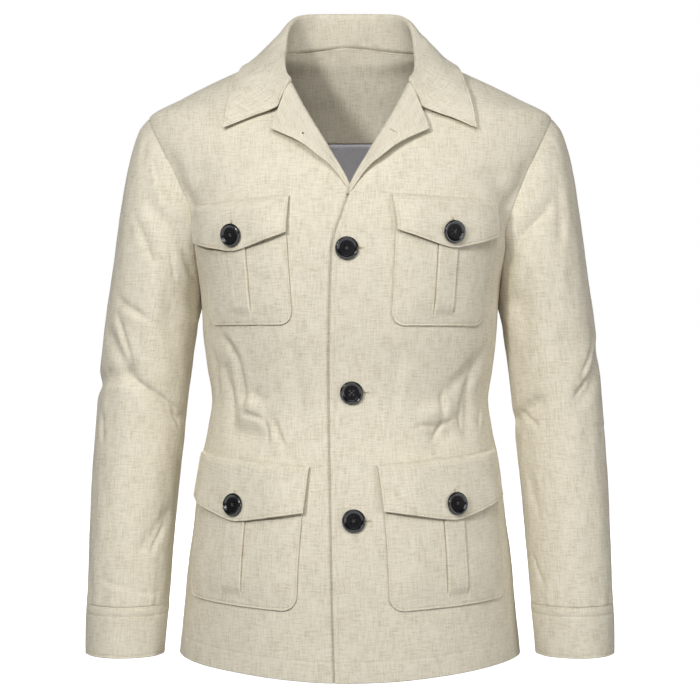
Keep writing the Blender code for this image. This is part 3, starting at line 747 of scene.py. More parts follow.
def new_bead_mesh(node, name, rows, finishes):
    """One mesh of all the beads in rows, stitches and dark beads of painted shade in gaps; each row has the
    finish of the same place in its list.
    """
    points, faces, kinds = [], [], []
    first = 0
    for kind, row in enumerate(rows):
        template, corners = bead(row.length, row.thread)
        placed = np.einsum("vk,nkc->nvc", template, row.frames[:, :3]) + row.frames[:, None, 3]
        points.append(placed.reshape(-1, 3) * MM)
        for number in range(len(row.frames)):
            offset = first + number * len(template)
            faces += [[corner + offset for corner in face] for face in corners]
        kinds += [kind] * (len(row.frames) * len(corners))
        first += placed.shape[0] * placed.shape[1]
    mesh = bpy.data.meshes.new(name)
    mesh.from_pydata(np.concatenate(points), [], faces)
    for finish in finishes:
        mesh.materials.append(finish)
    mesh.polygons.foreach_set("material_index", kinds)
    mesh.shade_smooth()
    THREADS.setdefault(node, []).append(add_object(name, mesh))


def topstitch(node, frames):
    """The topstitching of one piece of cloth."""
    row = Stitches(np.concatenate(frames), STITCH_LENGTH, THREAD)
    new_bead_mesh(node, node + "_topstitching", [row], [SEWING_THREAD])
    print(f"{node}: {len(row.frames)} stitches")


# %% [markdown]
# ## The two fronts
#
# Each front runs from its edge at the middle to the side seam, and from the hem to the shoulder.  Below
# the underarm its rows are level, and above it a patch is stretched between four edges: the front edge,
# the armhole, the underarm row and the shoulder seam.  The wearer's left front closes over the right
# one, so the right front goes in a little where they overlap.  The edge is turned and stitched up to
# where the lapel starts to roll, and the hem is turned up and stitched all round.

# %% Edges of the fronts
FRONT_EDGE = SmoothTable("height x", [
    (-725, -16), (-620, -19), (-500, -21), (-373, -23), (-270, -21), (-240, -19.5), (-223, -17),
    (-200, -9.5), (-168, 2), (-136, 19), (-106, 37), (-86, 48), (-73, 56), (-53, 66.5), (GORGE, 70.5),
    (-25, 76.5), (-10, 80.5), (0, 84),
])
UNDERARM_X = float(RINGS.at(UNDERARM).half_width)
SHOULDER_TIP_X = float(RINGS.at(SHOULDER_TIP).half_width)
ARMHOLE = SmoothTable("height front_x back_x", [
    (UNDERARM, UNDERARM_X, UNDERARM_X), (-275, 175, 176), (-245, 177.5, 181), (-215, 181, 189),
    (-190, 187, 197), (-165, 196, 206), (-142, 205, 214), (-120, 215, 222), (-100, 225, 229), (-88, 231, 233),
    (SHOULDER_TIP, SHOULDER_TIP_X, SHOULDER_TIP_X),
])


def seam_angle(height):
    """Half the gap at the side and shoulder seams, as an angle."""
    return np.degrees(SEAM / 2 / RINGS.at(height).half_width)


def armhole_height(share):
    """Heights up the armhole, closest together at its two ends."""
    middle, half = (UNDERARM + SHOULDER_TIP) / 2, (SHOULDER_TIP - UNDERARM) / 2
    return middle - half * np.cos(np.pi * share)


print(f"armhole from {armhole_height(0.0):.0f} up to {armhole_height(1.0):.0f} mm")

# %% Places inside four edges
UNDERARM_SHARE = 16 / 28  # how far up a panel its level rows end


def coons(inner, outer, bottom, top, across, up):
    """Places (angle, height) inside four edges, each a function of its share."""
    wide, high = across[..., None], up[..., None]
    none, all_ = np.zeros_like(up), np.ones_like(up)
    sides = blend(inner(up), outer(up), wide) + blend(bottom(across), top(across), high)
    low = blend(inner(none), outer(none), wide)
    corners = blend(low, blend(inner(all_), outer(all_), wide), high)
    return sides - corners


def below_underarm(inner_angle, outer_angle, across, up):
    """Rows from the hem, which dips in front, to the level underarm row."""
    flat = blend(HEM, UNDERARM, up)
    angle = blend(inner_angle(flat), outer_angle(flat), across)
    hem = HEM - FRONT_DIP * np.maximum(np.cos(np.radians(angle)), 0) ** 2
    return stacked(angle, blend(hem, UNDERARM, up))


def panel_place(across, along, inner_angle, side_angle, inner, outer, top):
    """Places of a panel: level rows below the underarm, and a patch between four edges above it."""
    low = below_underarm(inner_angle, side_angle, across, np.clip(along / UNDERARM_SHARE, 0, 1))

    def bottom(share):
        level = np.full_like(share, UNDERARM)
        return stacked(blend(inner_angle(level), side_angle(level), share), level)

    up = np.clip((along - UNDERARM_SHARE) / (1 - UNDERARM_SHARE), 0, 1)
    high = coons(inner, outer, bottom, top, across, up)
    return np.where((along <= UNDERARM_SHARE)[..., None], low, high)


# %% Cut of the fronts
TUCK, TUCK_START, TUCK_RAMP = 3.6, 4.5, 4.0  # how the right front goes in under the left one
TUCK_TOP, TUCK_FADE = -148.0, 24.0  # where that ends, below the lapels


def front_edge_angle(height):
    return np.minimum(angle_at(FRONT_EDGE.at(height).x, height), 90 - seam_angle(height))


def front_place(across, along):
    """Wearer's left front: across from the front edge to the side, along from the hem up."""
    def side_angle(height):
        return 90 - seam_angle(height)

    def inner(up):
        height = blend(UNDERARM, 0, up)
        return stacked(front_edge_angle(height), height)

    def outer(up):
        height = armhole_height(up)
        edge = angle_at(ARMHOLE.at(height).front_x, height)
        return stacked(np.minimum(edge, side_angle(height)), height)

    def top(share):
        height = blend(0, SHOULDER_TIP, share)
        return stacked(side_angle(height), height)

    return panel_place(across, along, front_edge_angle, side_angle, inner, outer, top)


def tuck(angle, height):
    """How far the right front goes in, where the left front lies over it."""
    over = (torso(angle, height)[..., 0] - FRONT_EDGE.at(height).x + TUCK_START) / TUCK_RAMP
    return TUCK * ease(over) * ease((TUCK_TOP - height) / TUCK_FADE)


def front_sheet(side):
    """The surface of a front, by its shares across and along."""
    def sheet(across, along):
        place = front_place(across, along)
        angle, height = place[..., 0], place[..., 1]
        inset = tuck(-angle, height) if side < 0 else 0
        return skin(side * angle, height, -inset)
    return sheet


print(f"at the waist the front edge lies at {front_edge_angle(np.array(WAIST)):.1f} degrees")

# %% Rows of the body's panels
HEM_EDGE = (0, 0.3, 0.8, 1.5, 2.5, 5, 9, 14, 19, 21.4, 22.4, 23.2, 24, 25, 27)
ROWS_BELOW, ROWS_ABOVE = 150, 104  # rows below and above the underarm
HEM_STITCH, FRONT_STITCH = 23.0, 5.0
HEM_GROOVE = 0.5  # the hem's stitches draw the cloth in less than those of an edge


def panel_rows():
    """Shares up a panel, from the hem by the underarm to the shoulder."""
    below = spaced(UNDERARM - HEM, ROWS_BELOW, HEM_EDGE, PLAIN_EDGE) / (UNDERARM - HEM)
    above = spaced(-UNDERARM, ROWS_ABOVE, PLAIN_EDGE, SEAM_EDGE)[1:] / -UNDERARM
    return np.concatenate([below * UNDERARM_SHARE, blend(UNDERARM_SHARE, 1, above)])


def body_cut(angle, height, middle=0.0):
    """A place on the flat linen: the distance round the body from the piece's middle, and the height."""
    on_the_way = np.linspace(0, 1, 25)[:, None, None]
    around = lengths(torso(blend(middle, angle, on_the_way), height), axis=0)[-1]
    return stacked(np.sign(angle - middle) * around, height)


ROWS = panel_rows()
HEM_SHARE = HEM_STITCH / (UNDERARM - HEM) * UNDERARM_SHARE
print("rows of a panel:", len(ROWS))

# %% Make the fronts
FRONT_COLUMNS = 128  # between its two edges
EDGE_TOP, EDGE_FADE = -168.0, 8.0  # above this height the front edge is hidden in the lapel's roll
HEM_START, HEM_END = 0.02, 0.998  # the hem's stitches stop just before the edge and the side seam
SHARE_STEP = 0.002  # for the slope of a sheet that is read by shares


def make_front(node, side):
    sheet = front_sheet(side)
    across = shares_at(sheet, ROWS, lambda length: spaced(length, FRONT_COLUMNS, TURNED_EDGE, SEAM_EDGE))
    along = np.broadcast_to(ROWS[:, None], across.shape)
    points = sheet(across, along)
    place = front_place(across, along)
    from_edge, from_hem = lengths(points, axis=1), lengths(points, axis=0)
    below_lapel = ease((EDGE_TOP - points[..., 2]) / EDGE_FADE)
    relief = below_lapel * (turned_edge(from_edge) + sewn(from_edge, FRONT_STITCH, from_hem))
    relief += turned_edge(from_hem) + HEM_GROOVE * sewn(from_hem, HEM_STITCH, from_edge)
    relief += seam(to_end(from_edge, 1)) + seam(to_end(from_hem, 0))
    cut = body_cut(side * place[..., 0], place[..., 1])
    flip = side < 0
    new_cloth(node, points, relief, cut, CLOTH, LINEN, flip=flip)
    stitched = ROWS[points[:, 0, 2] < EDGE_TOP]
    edge_share = shares_at(sheet, stitched, lambda length: np.full((len(length), 1), FRONT_STITCH))[:, 0]
    hem_across = np.linspace(HEM_START, HEM_END, 120)
    topstitch(node, [
        sewn_row(sheet, edge_share, stitched, SHARE_STEP, flip),
        sewn_row(sheet, hem_across, np.full_like(hem_across, HEM_SHARE), SHARE_STEP, flip),
    ])


SIDES = {"left": 1, "right": -1}
for side_name, side in SIDES.items():
    make_front("front_" + side_name, side)

# %% [markdown]
# ## The back
#
# The back is cut in one piece, from side seam to side seam.  Half of it is worked out, from the middle
# to the wearer's left, and the other half repeats it with the angle turned round.  Its neck edge follows
# the collar's seam, and its hem is stitched at the same height as that of the fronts.

# %% Cut of the back
NECK_SHARE = 0.4  # share of half the back's top edge that is neck, the rest is shoulder
NECK_ROUND = 0.2  # how softly the neck seam turns at centre back


def back_neck(share):
    """The back's neck seam, from centre back to the shoulder."""
    soft = (np.hypot(share, NECK_ROUND) - NECK_ROUND) / (math.hypot(1, NECK_ROUND) - NECK_ROUND)
    height = blend(NAPE, 0, soft)
    return stacked(blend(180, 90 + seam_angle(height), share), height)


def half_back_place(across, along):
    """Half of the back: across from centre back to the wearer's left side, along from the hem up."""
    def side_angle(height):
        return 90 + seam_angle(height)

    def middle(height):
        return np.full_like(height, 180)

    def inner(up):
        return stacked(middle(up), blend(UNDERARM, NAPE, up))

    def outer(up):
        height = armhole_height(up)
        edge = angle_at(ARMHOLE.at(height).back_x, height, back=True)
        return stacked(np.maximum(edge, side_angle(height)), height)

    def top(share):
        height = blend(0, SHOULDER_TIP, np.clip((share - NECK_SHARE) / (1 - NECK_SHARE), 0, 1))
        shoulder = stacked(side_angle(height), height)
        neck = back_neck(np.clip(share / NECK_SHARE, 0, 1))
        return np.where((share <= NECK_SHARE)[..., None], neck, shoulder)

    return panel_place(across, along, middle, side_angle, inner, outer, top)


def back_place(half, along):
    """Both halves of the back, from -1 at the wearer's right side to 1 at the left one."""
    place = half_back_place(np.abs(half), along)
    return np.where(half < 0, -1, 1) * place[..., 0], place[..., 1]


def back_sheet(half, along):
    return skin(*back_place(half, along))


def back_cut(angle, height):
    return body_cut(angle, height, middle=np.where(angle < 0, -180.0, 180.0))


print("angle and height of the neck seam at the shoulder:", back_neck(np.array(1.0)))

# %% Make the back
HALF_BACK_COLUMNS = 84
MIDDLE_GAP = 0.004  # closer to centre back no stitch is placed, since the two halves meet there


def make_back():
    def columns(length):
        return spaced(length, HALF_BACK_COLUMNS, PLAIN_EDGE, SEAM_EDGE)

    half = shares_at(back_sheet, ROWS, columns)
    half = np.concatenate([-half[:, :0:-1], half], axis=1)
    along = np.broadcast_to(ROWS[:, None], half.shape)
    points = back_sheet(half, along)
    from_side, from_hem = lengths(points, axis=1), lengths(points, axis=0)
    relief = turned_edge(from_hem) + HEM_GROOVE * sewn(from_hem, HEM_STITCH, from_side)
    relief += seam(from_side) + seam(to_end(from_side, 1)) + seam(to_end(from_hem, 0))
    new_cloth("back", points, relief, back_cut(*back_place(half, along)), CLOTH, LINEN, flip=True)
    across = np.linspace(-HEM_END, HEM_END, 240)
    across = across[np.abs(across) > MIDDLE_GAP]
    hem = np.full_like(across, HEM_SHARE)
    topstitch("back", [sewn_row(back_sheet, across, hem, SHARE_STEP, flip=True)])


make_back()

# %% [markdown]
# ## Inside the neck
#
# The open neck shows the inside of the back: a facing of linen below the collar, and a grey lining that
# is sewn to its lower edge.  Both lie just inside the back, so they are points of the body moved in.
# They face forwards, so they need no turning round.

# %% Back facing and lining
FACING_BOTTOM, LINING_BOTTOM = -89.0, -262.0
LINING_CLOTH, INSIDE = 1.2, 2.8
FACING_TOP_SHARE, FACING_HALF, LINING_HALF = 0.96, 126.0, 128.0
FACING_SEAM, FACING_INSET = 0.2, 11.0  # how far in the facing lies at the collar and at its lower edge
FACING_RISE = 1.0  # how far it reaches up past the neck seam
LINING_FADE = 120.0  # over this height the lining comes close to the back again
INSIDE_SEAM = 1.5  # the seam between the two dips this much more widely


def facing_place(half, along):
    """Places of the facing: along from its lower edge up to the neck seam."""
    neck = back_neck(np.abs(half) * FACING_TOP_SHARE)
    low_angle = angle_at(np.abs(half) * FACING_HALF, FACING_BOTTOM, back=True)
    height = blend(neck[..., 1] + FACING_RISE, FACING_BOTTOM, 1 - along)
    return np.where(half < 0, -1, 1) * blend(neck[..., 0], low_angle, ease(1 - along)), height


def lining_place(half, along):
    """Places of the lining: along from its lower edge up to the facing."""
    height = blend(LINING_BOTTOM, FACING_BOTTOM, along)
    return np.where(half < 0, -1, 1) * angle_at(np.abs(half) * LINING_HALF, height, back=True), height


def make_inside(node, place, columns, rows, finish):
    half, along = np.meshgrid(np.linspace(-1, 1, columns), np.linspace(0, 1, rows))
    angle, height = place(half, along)
    inset = blend(CLOTH + INSIDE + LINING_CLOTH, FACING_INSET, ease((height - LINING_BOTTOM) / LINING_FADE))
    if finish is LINEN:
        below_collar = np.take(height, [-1], axis=0) - height
        inset = blend(FACING_SEAM, FACING_INSET, below_collar / np.take(below_collar, [0], axis=0))
    points = skin(angle, height, -inset)
    sewn_edge = lengths(points, axis=0)
    if finish is LINING:
        sewn_edge = to_end(sewn_edge, 0)
    relief = seam(sewn_edge / INSIDE_SEAM)
    new_cloth(node, points, relief, back_cut(angle, height), LINING_CLOTH, finish)


make_inside("back_neck_facing", facing_place, 61, 45, LINEN)
make_inside("back_lining", lining_place, 61, 41, LINING)

# %% [markdown]
# ## Sleeves and cuffs
#
# A sleeve is a tube that starts at the armhole and hangs down, slightly bent at the elbow.  Its sections
# are ellipses between an outer and an inner side, and near the top they turn into the armhole's own
# line.  The creases at the elbow and wrist are its character, so they have their own table, by the turn
# round the arm (0 outside, 90 in front, 180 under the arm) and the share of its length.  Sleeve heads
# and cuff seams are eased in, which leaves small gathers.

# %% Sections of the sleeves and cuffs
TUBE_COLUMNS = "share outer_x outer_z inner_x inner_z middle_y half_depth"
SLEEVE = SmoothTable(TUBE_COLUMNS, [
    (0.00, SHOULDER_TIP_X, SHOULDER_TIP, UNDERARM_X, UNDERARM, -3, 66),
    (0.03, 247.5, -89, 175.2, -302, -3, 68),
    (0.07, 255, -110, 176.8, -307, -3, 70),
    (0.13, 263, -145, 178.2, -313, -2, 71),
    (0.22, 270.5, -195, 179.5, -322, -1, 71),
    (0.33, 279.5, -257, 183, -343, 0, 69),
    (0.45, 288.5, -325, 187.5, -379, -1, 65),
    (0.58, 296, -400, 192.5, -425, -4, 61),
    (0.72, 300.5, -480, 198.5, -490, -14, 57),
    (0.86, 303, -560, 204.5, -562, -28, 53),
    (1.00, 304, -639, 209.5, -639, -41, 49),
])
CUFF = SmoothTable(TUBE_COLUMNS, [
    (0.0, 304.6, -639.4, 208.9, -639.4, -41, 49.6),
    (1.0, 304.8, -697, 213.6, -697, -46.5, 47),
])
SLEEVE_LENGTH, CUFF_LENGTH = 575.0, 57.6
print("sleeve of", len(SLEEVE.values), "sections, with its cuff", SLEEVE_LENGTH + CUFF_LENGTH, "mm long")

# %% Folds of the sleeves
SLEEVE_FOLDS = {  # by side, each fold by turn and by share of the length
    -1: [Fold(*row) for row in (
        (0, 0.565, 75, 0.515, 10, -4.5),
        (75, 0.515, 152, 0.585, 10, -4.5),
        (40, 0.455, 75, 0.495, 10, -3.5),
        (113, 0.880, 150, 0.810, 10, -3.0),
        (200, 0.600, 250, 0.560, 12, -4.0),
        (70, 0.110, 122, 0.045, 11, -3.5),
    )],
    1: [Fold(*row) for row in (
        (70, 0.105, 122, 0.040, 11, -4.0),
        (10, 0.495, 62, 0.570, 11, -4.5),
        (125, 0.555, 165, 0.590, 11, -5.0),
        (195, 0.600, 250, 0.570, 12, -4.0),
    )],
}
print("folds of the sleeves:", *map(len, SLEEVE_FOLDS.values()))

# %% Creases of the sleeves
def back_creases(side):
    """Creases at the back of a sleeve, which the photo does not show."""
    return [Crease(*row) for row in (
        (200, 0.450, 255, 0.400, 6, -2.0, 2 * side),
        (215, 0.520, 280, 0.560, 7, -2.2, -2),
        (300, 0.500, 345, 0.545, 6, -2.0, 1),
        (235, 0.660, 280, 0.630, 8, -1.8, 2),
        (250, 0.120, 290, 0.200, 9, -2.0, -2 * side),
    )]


SLEEVE_CREASES = {
    -1: [Crease(*row) for row in (
        (52, 0.160, 90, 0.205, 7.2, -2, 2),
        (92, 0.115, 112, 0.155, 5.9, -2.7, -1),
        (44, 0.367, 96, 0.352, 5.9, -2.4, 3),
        (46, 0.395, 78, 0.488, 4, -3, -3),
        (40, 0.555, 78, 0.515, 3.2, -2.4, 2),
        (76, 0.515, 112, 0.534, 3.2, -2.4, 1),
        (110, 0.532, 154, 0.570, 3.2, -2.4, -2),
        (106, 0.478, 142, 0.552, 2.9, -2.2, 2),
        (140, 0.550, 157, 0.620, 3.2, -1.8, 1),
        (40, 0.610, 44, 0.675, 4, -2.4, 2),
        (150, 0.828, 122, 0.905, 3.2, -2.4, 2),
        (52, 0.945, 100, 0.962, 3.2, -1.4, 1),
        (104, 0.970, 148, 0.975, 2.5, -1.2, 0.5),
        (32, 0.000, 44, 0.085, 4, -1.4, 1),
        (52, 0.030, 74, 0.070, 3.2, -1.4, 1),
        (116, 0.100, 128, 0.450, 13, -4, 3),
        (80, 0.140, 62, 0.300, 12, -2.4, 2),
    )] + back_creases(-1),
    1: [Crease(*row) for row in (
        (112, 0.120, 120, 0.340, 10, -3.2, -3),
        (88, 0.400, 68, 0.500, 12, -2.6, 2),
        (62, 0.120, 98, 0.062, 2.9, -2.4, 2),
        (136, 0.075, 132, 0.380, 7.2, -2.7, 4),
        (26, 0.462, 64, 0.535, 3.6, -2.6, -2),
        (46, 0.528, 78, 0.570, 3.2, -2.4, 1),
        (160, 0.567, 122, 0.620, 3.6, -2.9, 2),
        (158, 0.895, 134, 0.970, 3.2, -2.2, 1),
        (52, 0.095, 68, 0.220, 6.3, -2.2, 2),
        (60, 0.635, 5, 0.650, 2.5, -1.2, 1),
        (146, 0.710, 136, 0.820, 5.9, -2.2, -2),
    )] + back_creases(1),
}
print("creases of the sleeves:", *map(len, SLEEVE_CREASES.values()))

# %% Relief of a sleeve
ROUND_PER_TURN_DEGREE = 0.95  # millimetres round the arm for one degree
GATHERS, GATHER_HEIGHT, GATHER_RUN = 17, 0.7, 14.0  # gathers at the cuff's seam, and how far they run
EASED, EASED_HEIGHT, EASED_RUN = 23, 0.35, 9.0  # the same for the fullness of the sleeve head
SIDE_SHIFT = 90  # so that both sleeves are not worn alike


def sleeve_relief(side, turn, share):
    around, down = np.radians(turn), share * SLEEVE_LENGTH
    total = ripple(around, down + SIDE_SHIFT * side)
    for round_more in (0, -360):
        u = (turn + round_more) * ROUND_PER_TURN_DEGREE
        total = with_folds(total, u, down, SLEEVE_FOLDS[side], SLEEVE_CREASES[side],
                           ROUND_PER_TURN_DEGREE, SLEEVE_LENGTH)
    gathers = np.sin(GATHERS * around + 1.9 * np.sin(3 * around))
    gathers = gathers * np.exp(-(SLEEVE_LENGTH - down) / GATHER_RUN)
    eased = np.sin(EASED * around + 1.4 * np.sin(4 * around)) * np.exp(-down / EASED_RUN)
    on_head = ease(np.cos(around) + 0.4)
    return total + GATHER_HEIGHT * gathers + EASED_HEIGHT * (eased * on_head)


print(f"relief in front of the right elbow: {sleeve_relief(-1, 75.0, 0.515):.1f} mm")

# %% Cut of the sleeves
ARMHOLE_GAP, ARMHOLE_BLEND = 0.1, 0.25  # gap at the seam, and share over which its line is left
HEAD_SHARE = 0.03  # over this share the sleeve head faces the way the body does
FIRST_SLOPE = 0.01  # nearer the armhole the slope of this share is used


def armhole_point(side, turn, lift=0.0):
    """The armhole seam, from the shoulder (0) by the front (90) to the underarm (180) and the back."""
    height = armhole_height(np.abs(180 - turn) / 180)
    row = ARMHOLE.at(height)
    angle = np.where(turn <= 180, angle_at(row.front_x, height), angle_at(row.back_x, height, back=True))
    return skin(side * angle, height, lift) + np.array((side * ARMHOLE_GAP, 0, 0))


def tube_section(row, turn):
    """Points of a sleeve's or cuff's section: an ellipse between its outer and inner side."""
    around = np.radians(turn)
    x = blend(row.inner_x, row.outer_x, 0.5 + 0.5 * np.cos(around))
    z = blend(row.inner_z, row.outer_z, 0.5 + 0.5 * np.cos(around))
    return stacked(x, row.middle_y - row.half_depth * np.sin(around), z)


def sleeve_sheet(side):
    """The surface of a sleeve, by its share of a turn and of its length."""
    def plain(turned, share):
        turn = turned * 360
        mirror = np.array((side, 1, 1))
        start = tube_section(SLEEVE.at(np.zeros_like(share)), turn) * mirror
        section = tube_section(SLEEVE.at(share), turn) * mirror
        to_armhole = (1 - ease(share / ARMHOLE_BLEND))[..., None]
        return section + (armhole_point(side, turn % 360) - start) * to_armhole

    def sheet(turned, share):
        turned, share = np.broadcast_arrays(np.asarray(turned, float), np.asarray(share, float))
        turn = turned * 360 % 360
        outwards = side * normals_of(plain, turned, np.maximum(share, FIRST_SLOPE), SHARE_STEP)
        on_top = ease((np.cos(np.radians(turn)) + 0.2) / 0.8) * (1 - ease(share / HEAD_SHARE))
        body_outwards = armhole_point(side, turn, 1.0) - armhole_point(side, turn)
        outwards = unit(blend(outwards, body_outwards, on_top[..., None]))
        return plain(turned, share) + outwards * sleeve_relief(side, turn, share)[..., None]

    return sheet


print("outside of the left sleeve at its elbow:", np.round(sleeve_sheet(1)(0.0, 0.52), 1))

# %% Grid of a sleeve
SLEEVE_COLUMNS, SLEEVE_ROWS = 161, 210
SLEEVE_APART = 900.0  # where the sleeves lie on the flat linen, away from the body
TURN_IN = 4.0  # seam allowance of the sleeve, turned into the armhole


def sleeve_cut(side, points, turned):
    """A place on the flat linen, with the grain straight down the arm."""
    x, y, height = side * points[..., 0], points[..., 1], points[..., 2]
    _, outer_x, outer_z, inner_x, inner_z, middle_y, _ = SLEEVE.values[::-1].T
    middle_x = (np.interp(height, outer_z, outer_x) + np.interp(height, inner_z, inner_x)) / 2
    turn = np.degrees(np.arctan2(np.interp(height, outer_z, middle_y) - y, x - middle_x))
    turn = turned * 360 + (turn - turned * 360 + 180) % 360 - 180
    return stacked(turn * ROUND_PER_TURN_DEGREE + SLEEVE_APART * side, height)


def make_sleeve(node, side):
    share = spaced(SLEEVE_LENGTH, SLEEVE_ROWS, SEAM_EDGE, SEAM_EDGE) / SLEEVE_LENGTH
    turned, share = np.meshgrid(np.linspace(0, 1, SLEEVE_COLUMNS), share)
    points = sleeve_sheet(side)(turned, share)
    run = lengths(points, axis=0)
    relief = seam(run) + seam(to_end(run, 0))
    allowance = armhole_point(side, turned[:1] * 360 % 360, -TURN_IN)
    points = np.concatenate([allowance, points])
    turned = np.concatenate([turned[:1], turned])
    relief = np.concatenate([np.zeros_like(relief[:1]), relief])
    new_cloth(node, points, relief, sleeve_cut(side, points, turned), CLOTH, LINEN, flip=side < 0, tube=True)


print("columns of a sleeve:", SLEEVE_COLUMNS)

# %% Make sleeves and cuffs
CUFF_COLUMNS, CUFF_ROWS = 129, 8
CUFF_STITCHES = (1.6, 10.5)  # rows of stitches below the cuff's seam
CUFF_HEM_STITCH = 3.0  # above its lower edge
CUFF_TOP_EDGE = (0, 0.4, 0.9, 1.6, 2.4, 3.4, 5, 7.5, 9.2, 10, 10.8, 11.8, 14)


def cuff_sheet(side):
    """The surface of a cuff, by its share of a turn and of its length."""
    def sheet(turned, share):
        return tube_section(CUFF.at(share), turned * 360) * np.array((side, 1, 1))
    return sheet


def make_cuff(node, side):
    sheet, flip = cuff_sheet(side), side < 0
    down = spaced(CUFF_LENGTH, CUFF_ROWS, CUFF_TOP_EDGE, TURNED_EDGE)
    turned, run = np.meshgrid(np.linspace(0, 1, CUFF_COLUMNS), down)
    points = sheet(turned, run / CUFF_LENGTH)
    around = lengths(points, axis=1)
    turn = np.radians(turned * 360)
    wave = np.sin(turn * 5 + run / 30) * 0.5 + np.sin(turn * 11) * 0.2
    relief = seam(run) + turned_edge(CUFF_LENGTH - run) + wave * ease(run / 20)
    for place in CUFF_STITCHES:
        relief = relief + sewn(run, place, around)
    relief = relief + sewn(CUFF_LENGTH - run, CUFF_HEM_STITCH, around)
    cut = stacked(turned * 360 * ROUND_PER_TURN_DEGREE + SLEEVE_APART * side, -SLEEVE_LENGTH - run)
    new_cloth(node, points, relief, cut, DOUBLE_CLOTH, LINEN, flip=flip, tube=True)
    once_round = np.linspace(0, 1, 150)
    rows = [place / CUFF_LENGTH for place in (*CUFF_STITCHES, CUFF_LENGTH - CUFF_HEM_STITCH)]
    topstitch(node, [
        sewn_row(sheet, once_round, np.full_like(once_round, row), SHARE_STEP, flip)
        for row in rows
    ])


for side_name, side in SIDES.items():
    make_sleeve("sleeve_" + side_name, side)
    make_cuff("cuff_" + side_name, side)

# %% [markdown]
# ## Collar
#
# The collar is one strip: it stands up from the neck seam, folds over and falls outwards to two points.
# Sections from centre back to its front end give the fold line, the middle of the fall and the outer
# edge.  A curve through these stops rolls over the fold softly, where plain straight runs would crease.
# Rows lie close together over the fold and along the stitched outer edge.

# %% Cut of the collar
FOLD_RADIUS = 2.4
COLLAR_INWARDS, COLLAR_RISE = 0.4, 0.9  # how far its seam lies inside and above the body's neck edge
COLLAR = SmoothTable("share fold_x fold_y fold_z belly_x belly_y belly_z edge_x edge_y edge_z", [
    (0.000, 0, 62, 58.5, 0, 77, 36, 0, 81, 8),
    (0.125, 31, 57, 57.5, 36, 71, 34, 36, 77, 5),
    (0.250, 56, 41, 53.5, 66, 55, 29, 71, 62, -1),
    (0.375, 69, 20, 44, 87, 31, 20, 99, 38, -8),
    (0.500, 75, 0, 28, 98, 4, 10, 116, 8, -9),
    (0.560, 76.5, -15, 11, 101, -12, 1, 121, -10, -13),
    (0.625, 77, -28, -2, 104, -30, -9, 126, -29, -19),
    (0.750, 76.3, -43, -15, 106, -58, -28, 133, -58, -42),
    (0.875, 73.5, -58, -29, 101, -81, -53, 139.5, -82, -70),
    (1.000, 67.5, -71.5, -38.5, 83.2, -96.5, -73, 144, -96, -98),
])


def neck_seam(share):
    """The neck seam from centre back by the shoulder to the gorge, where the collar is sewn on."""
    behind = back_neck(np.clip(2 * share, 0, 1))
    height = blend(0, GORGE + 2, np.clip(2 * share - 1, 0, 1))
    front = stacked(front_edge_angle(height), height)
    place = np.where((share <= 0.5)[..., None], behind, front)
    return skin(place[..., 0], place[..., 1])


def half_collar(share, along):
    """The collar from its neck seam over the fold to its outer edge, on the wearer's left."""
    share, along = np.broadcast_arrays(np.asarray(share, float), np.asarray(along, float))
    row = COLLAR.at(share)
    start = neck_seam(share) + np.array((-COLLAR_INWARDS, 0, COLLAR_RISE))
    fold, belly, edge = stacked(*row[1:4]), stacked(*row[4:7]), stacked(*row[7:])
    outwards = unit((belly - fold) * np.array((1, 1, 0)))
    down = np.array((0, 0, -1))
    radius = np.minimum(FOLD_RADIUS, 0.3 * np.linalg.norm(fold - start, axis=-1))[..., None]
    stand_top = fold + radius * (1.4 * down - 0.8 * outwards)
    fall_top = fold + FOLD_RADIUS * (0.5 * down + 1.2 * outwards)
    stops = [
        start,
        blend(start, stand_top, 0.5),
        stand_top,
        fold,
        fall_top,
        blend(fall_top, belly, 0.5) + outwards,
        belly,
        blend(belly, edge, 0.5),
        edge,
    ]
    return smooth_curve(np.linspace(0, 1, len(stops)), np.stack(stops), along)


def collar_sheet(half, along):
    """Both halves of the collar, from -1 at the wearer's right to 1 at the left."""
    point = half_collar(np.abs(half), along)
    point[..., 0] *= np.sign(half)
    return point


print("left point of the collar:", np.round(collar_sheet(1.0, 1.0), 1))

# %% Make the collar
COLLAR_STITCH = 2.6
HALF_COLLAR_COLUMNS, FALL_ROWS = 74, 6
STRETCHES = ((0, 0.25, 9), (0.25, 0.5, 19), (0.5, 0.75, 15))  # stand, fold and upper fall, with their rows
FALL_SHARE = 0.75  # where the fall's last straight stretch starts
GORGE_END, GORGE_RADIUS, GORGE_FADE = 0.78, 4.0, 0.06  # the front end is sewn to the lapel, so it bends down


def fall_length(share):
    """From the middle of the fall to the outer edge."""
    row = COLLAR.at(np.abs(share))
    return np.linalg.norm(np.subtract(row[7:], row[4:7]), axis=0)


def collar_along(share, from_edge):
    """The place along the fall at a distance from the outer edge."""
    return 1 - (1 - FALL_SHARE) * from_edge / fall_length(share)


